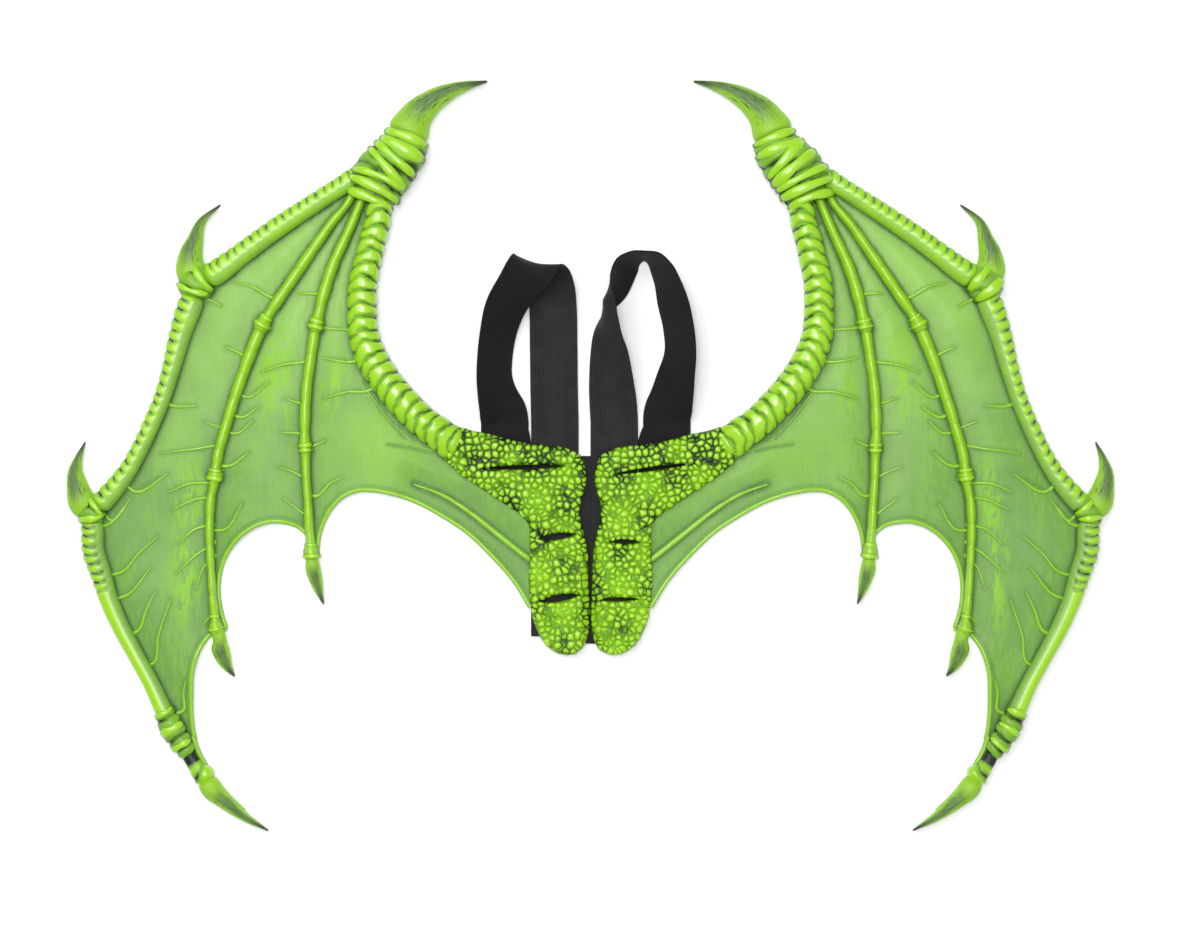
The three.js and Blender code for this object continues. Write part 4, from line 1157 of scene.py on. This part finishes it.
def makeRidges(side, flat, top):
    points, edges, radii = [], [], []

    def addLine(line, wide, rise):
        start = len(points)
        z = nearestHeight(flat, top, line) + rise
        points.extend(np.column_stack([line, z]).tolist())
        radii.extend((wide * mm).tolist())
        edges.extend((start + k, start + k + 1) for k in range(len(line) - 1))

    for k, vein in enumerate(veins):
        line = smoothPath(rootedVein(vein), 1.5)[:, :2]
        t = np.linspace(0, 1, len(line))
        thick = 0.85 + 0.15 * np.sin(k * 2.3)
        wide = 0.5 + thick * 1.45 * (1 - t) ** 0.8
        addLine(line, wide, 0.15)
    bead = smoothPath(freeEdge, 2.0)[:, :2]
    addLine(bead, np.full(len(bead), 1.9), -0.4)
    web = smoothPath([(318, -224), (313.5, -236), (308, -246), (301, -258), (290, -270), (276, -283)], 2.0)
    addLine(web, np.linspace(2.4, 0.8, len(web)), 0.6)
    for line, wide in (
        ([(121, 3), (145, 9), (162, 11)], 0.7),
        ([(178, 52), (162, 30), (144, 12)], 0.6),
        ([(185, 62), (170, 36), (152, 16)], 0.5),
    ):
        fine = smoothPath(line, 2.0)[:, :2]
        addLine(fine, wide * np.sqrt(np.linspace(1, 0.1, len(fine))), 0.1)
    piece = newPiece(pieceName(side, "veins"), points, [], {"radius": radii}, edges, side)
    runTree(piece, trees["ridge"], dict(veinShape, Finish=finishes["ridge"]))
    place(piece, sideNames[side] + "_wing", "lime_latex")


for side in sideNames:
    makeRidges(side, *makeSkinPiece(side))
print("skin made")

# the scaled root pads

pads = {
    "grid": 0.72,
    "back": 4.0,
    "height": 7.0,
    "rim": 8.5,
    "lip": 3.0,
    "bevel": 4.1,
    "scale": {
        "Scale Size": 0.0052, "Scale Height": 0.0026, "Gap Share": 0.2, "Irregularity": 0.8, "Warp": 0.0014,
    },
    "slits": {
        -1: [(21, -8.2, 84.5, -9.8, 1.7), (12.6, -62.4, 41.3, -66.2, 2.5), (9.4, -110.9, 40.6, -116, 2.6)],
        1: [(18.5, -14.5, 82, -5.8, 1.5), (16.2, -68.2, 38.5, -68.6, 1.6), (8.4, -114.7, 37.8, -114.1, 1.4)],
    },
}


def slitOutline(x1, y1, x2, y2, half):
    t = np.linspace(-1, 1, 19)
    start, end = np.array([x1, y1]), np.array([x2, y2])
    middle, reach = (start + end) / 2, (end - start) / 2
    out = np.array([-reach[1], reach[0]]) / np.linalg.norm(reach)
    bulge = half * (1 - np.abs(t) ** 2.2)
    upper = middle + t[:, None] * reach + bulge[:, None] * out
    lower = middle + t[::-1, None] * reach - bulge[::-1, None] * out
    return np.concatenate([upper, lower[1:-1]]).tolist()


def makePad(side):
    outline = smoothPath(padOutline + padOutline[:1], 1.2)[:-1, :2].tolist()
    holes = [slitOutline(*slit) for slit in pads["slits"][side]]
    flat, faces = fillOutline([outline, *holes], pads["grid"], 0.2, 11 + side)
    faces = upward(flat, faces)
    edge = lineGap(flat, [outline + outline[:1]])
    cut = lineGap(flat, [hole + hole[:1] for hole in holes])
    dome = arc(np.clip(edge / pads["rim"], 0, 1))
    lip = 0.3 + 0.7 * arc(np.clip(cut / pads["lip"], 0, 1))
    top = pads["back"] + 0.05 + (pads["height"] - 1.0) * dome * lip
    points, shell = closedShell(flat, faces, top, np.full(len(flat), pads["back"]))
    up = smoothStep(np.minimum(edge, cut), 0.2, 2.0)
    relief = 0.55 + 0.45 * smoothStep(np.minimum(edge, cut * 1.5), 0, 3.5)
    x, y = flat[:, 0], flat[:, 1]
    dark = 0.72 + 0.28 * np.sin(x / 7 + 1.3 * side) * np.sin(y / 9 + 0.7 * side)
    dark += 0.25 * smoothStep(y, -30, 8) + 0.3 * bell(x, 9) - 0.12 * smoothStep(-y, 60, 120)
    dark = np.clip(dark, 0.35, 1.08)
    fields = {
        "up": np.concatenate([up, 0 * up]),
        "relief": np.concatenate([relief, relief * 0 + 0.5]),
        "dark": np.concatenate([dark, 0 * dark]),  # the back is plain
    }
    piece = newPiece(pieceName(side, "rootPad"), points, shell, fields, side=side)
    runTree(piece, trees["scales"], dict(pads["scale"], Finish=finishes["scales"]))
    for corner in piece.data.vertices:  # bevelled where the two pads would meet as the wings fold
        corner.co.z = min(corner.co.z, abs(corner.co.x) + pads["bevel"] * mm)
    place(piece, sideNames[side] + "_wing", "lime_latex", sideNames[side] + "_root_pad")


for side in sideNames:
    makePad(side)
print("pads made")

# the elastic harness

harness = {
    "width": 38.0,
    "thickness": 1.2,
    "hinge": 20.0,
    "legEnd": -144.0,
    "middle": 2.1,
    "legX": {-1: (-28.5, -68.5), 1: (19.0, 61.0)},
    "legEndX": 53.0,
    "low": 0.75,
    "pull": {-1: 1.0, 1: 2.1},
}
loops = {
    -1: [
        [-29, 50, 2.2, 1, 0, 0, 0], [-29.5, 90, 2.4, 1, 0, 0, 0], [-30, 118, 3.4, 1, 0, 0.04, 0],
        [-31.5, 135, 7, 0.99, -0.06, 0.1, 0], [-35.5, 147, 15, 0.98, -0.13, 0.1, 0],
        [-40.5, 151.5, 24, 0.98, -0.15, 0.05, 0], [-46.5, 147.5, 31, 0.95, -0.18, -0.1, 0],
        [-55.5, 136, 31, 0.86, -0.21, -0.4, 0], [-65.8, 120, 25, 0.82, -0.12, -0.5, 0],
        [-72.5, 100, 19, 0.73, -0.02, -0.65, 0], [-75.7, 80, 15.8, 0.7, 0.04, -0.7, 0],
        [-76.2, 61, 14.6, 0.7, 0.06, -0.68, 0], [-74, 48, 12.3, 0.78, 0.05, -0.58, 0],
        [-71.4, 39, 9.2, 0.87, 0.04, -0.42, 0], [-69, 31, 4.2, 0.98, 0.02, -0.14, 0],
    ],
    1: [
        [18.2, 40, 3.6, 1, 0, 0.08, 0], [16.6, 60, 8.5, 0.92, 0, 0.36, 0], [15.4, 80, 12.8, 0.79, 0, 0.6, 0.5],
        [14.8, 98, 17.2, 0.56, 0, 0.82, 2.5], [17.5, 111, 19.6, 0.3, 0, 0.95, 7.5],
        [21, 120, 20.4, -0.02, 0.05, 0.99, 11], [23, 130, 20.2, -0.3, 0.12, 0.94, 8],
        [25, 141, 19.6, -0.44, 0.22, 0.87, 4], [29, 150.5, 19.6, -0.36, 0.33, 0.87, 2],
        [35.5, 156.5, 20.2, -0.14, 0.24, 0.96, 0.5], [43.5, 158.4, 20.4, 0.03, 0.12, 0.99, 0],
        [50.5, 155.8, 20.2, 0.18, 0.2, 0.96, 0], [56.5, 148, 19.6, 0.36, 0.2, 0.91, 0],
        [61, 138, 18.8, 0.47, 0.14, 0.87, 0], [65.5, 122, 17, 0.6, 0.08, 0.79, 0],
        [69.8, 103, 16.4, 0.61, 0, 0.79, 0], [71.4, 82, 16, 0.63, 0, 0.77, 0],
        [67.8, 61, 13.4, 0.77, 0, 0.62, 0],
        [63.8, 42, 8.4, 0.92, 0, 0.38, 0], [61.2, 32, 3.8, 0.99, 0, 0.08, 0],
    ],
}


def ribbonSurface(rows, width, thickness, columns):
    # a closed flat band: the painted face, a rounded edge, the back face and the other edge
    middle, wide = rows[:, :3], rows[:, 3:6]
    ahead = np.gradient(middle, axis=0)
    ahead /= np.linalg.norm(ahead, axis=1)[:, None]
    wide = wide - (wide * ahead).sum(axis=1)[:, None] * ahead
    wide /= np.linalg.norm(wide, axis=1)[:, None]
    thick = np.cross(wide, ahead)
    t = np.linspace(-1, 1, columns)
    half = width / 2 - 0.3
    across = np.concatenate([t[::-1] * half, [-half - 0.3], t * half, [half + 0.3]])
    out = np.concatenate([np.full(columns, 0.5), [0], np.full(columns, -0.5), [0]]) * thickness
    cup = rows[:, 6:7] * (1 - (across / (width / 2)) ** 2)
    points = middle[:, None] + wide[:, None] * across[:, None] + thick[:, None] * (out + cup)[:, :, None]
    run = distances(middle)
    count = len(across)
    ends = np.array([middle[0], middle[-1]])
    fields = {
        "along": np.concatenate([np.repeat(run, count), [0, run[-1]]]) * mm,
        "across": np.concatenate([np.tile(across, len(rows)), [0, 0]]) * mm,
        "face": np.concatenate([np.tile((out > 0) * 1.0, len(rows)), [0, 0]]),
    }
    return np.concatenate([points.reshape(-1, 3), ends]), tubeFaces(len(rows), count), fields, run[-1]


ribs = {"Rib Pitch": 0.0021, "Rib Height": 0.00012, "Finish": finishes["elastic"]}


def makeStrap(side):
    inner, outer = harness["legX"][side]
    top, flat = harness["hinge"], harness["middle"]
    down = [[inner, y, flat, 1, 0, 0, 0] for y in np.linspace(harness["legEnd"], top + 6, 18)]
    back = [[outer, top + run, flat, 1, 0, 0, 0] for run in (6, 3, 0)]
    drop = flat - harness["low"]
    legTop = top - 0.9
    pull = harness["pull"][side] * side  # the outer leg slides under the inner one
    outerLeg = [
        [outer - 0.3 * pull, legTop - 1.5, flat, 1, 0, 0, 0],
        [outer - 1.2 * pull, legTop - 5, flat - drop * 0.48, 1, 0, 0, 0],
        [outer - 1.8 * pull, legTop - 9, flat - drop * 0.89, 1, 0, 0, 0],
        [outer - 2.4 * pull, legTop - 13, harness["low"], 1, 0, 0, 0],
        [side * (harness["legEndX"] + 4), legTop - 36, harness["low"], 1, 0, 0, 0],
        [side * harness["legEndX"], legTop - 45, harness["low"], 1, 0, 0, 0],
    ]
    rows = spacePath(down + loops[side] + back + outerLeg, 1.8)
    points, faces, fields, length = ribbonSurface(rows, harness["width"], harness["thickness"], 56)
    name = sideNames[side]
    piece = newPiece(name + "StrapWeb", points, faces, fields)
    runTree(piece, trees["elastic"], ribs)
    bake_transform(piece)
    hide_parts(name + "_inner_strap_leg", name + "_shoulder_loop", name + "_outer_strap_leg")


def makeBackPanel():
    y = np.linspace(-150, 0, 84)
    rows = np.column_stack([0 * y, y, 0 * y + 0.6, 0 * y + 1, 0 * y, 0 * y, 0 * y])
    points, faces, fields = ribbonSurface(rows, 67, 1.05, 96)[:3]
    piece = newPiece("backPanelWeb", points, faces, fields)
    runTree(piece, trees["elastic"], {**ribs, "Rib Height": 0.00008})
    place(piece, "harness", "black_elastic", "back_panel")


makeStrap(-1)
makeStrap(1)
makeBackPanel()
print("harness made")

# what still shows of the frame's own shapes

for name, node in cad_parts.items():
    look = "wire" if "wire" in name else "thread" if "bar_tack" in name else None
    if look:
        node.data.materials.clear()
        node.data.materials.append(finishes[look])
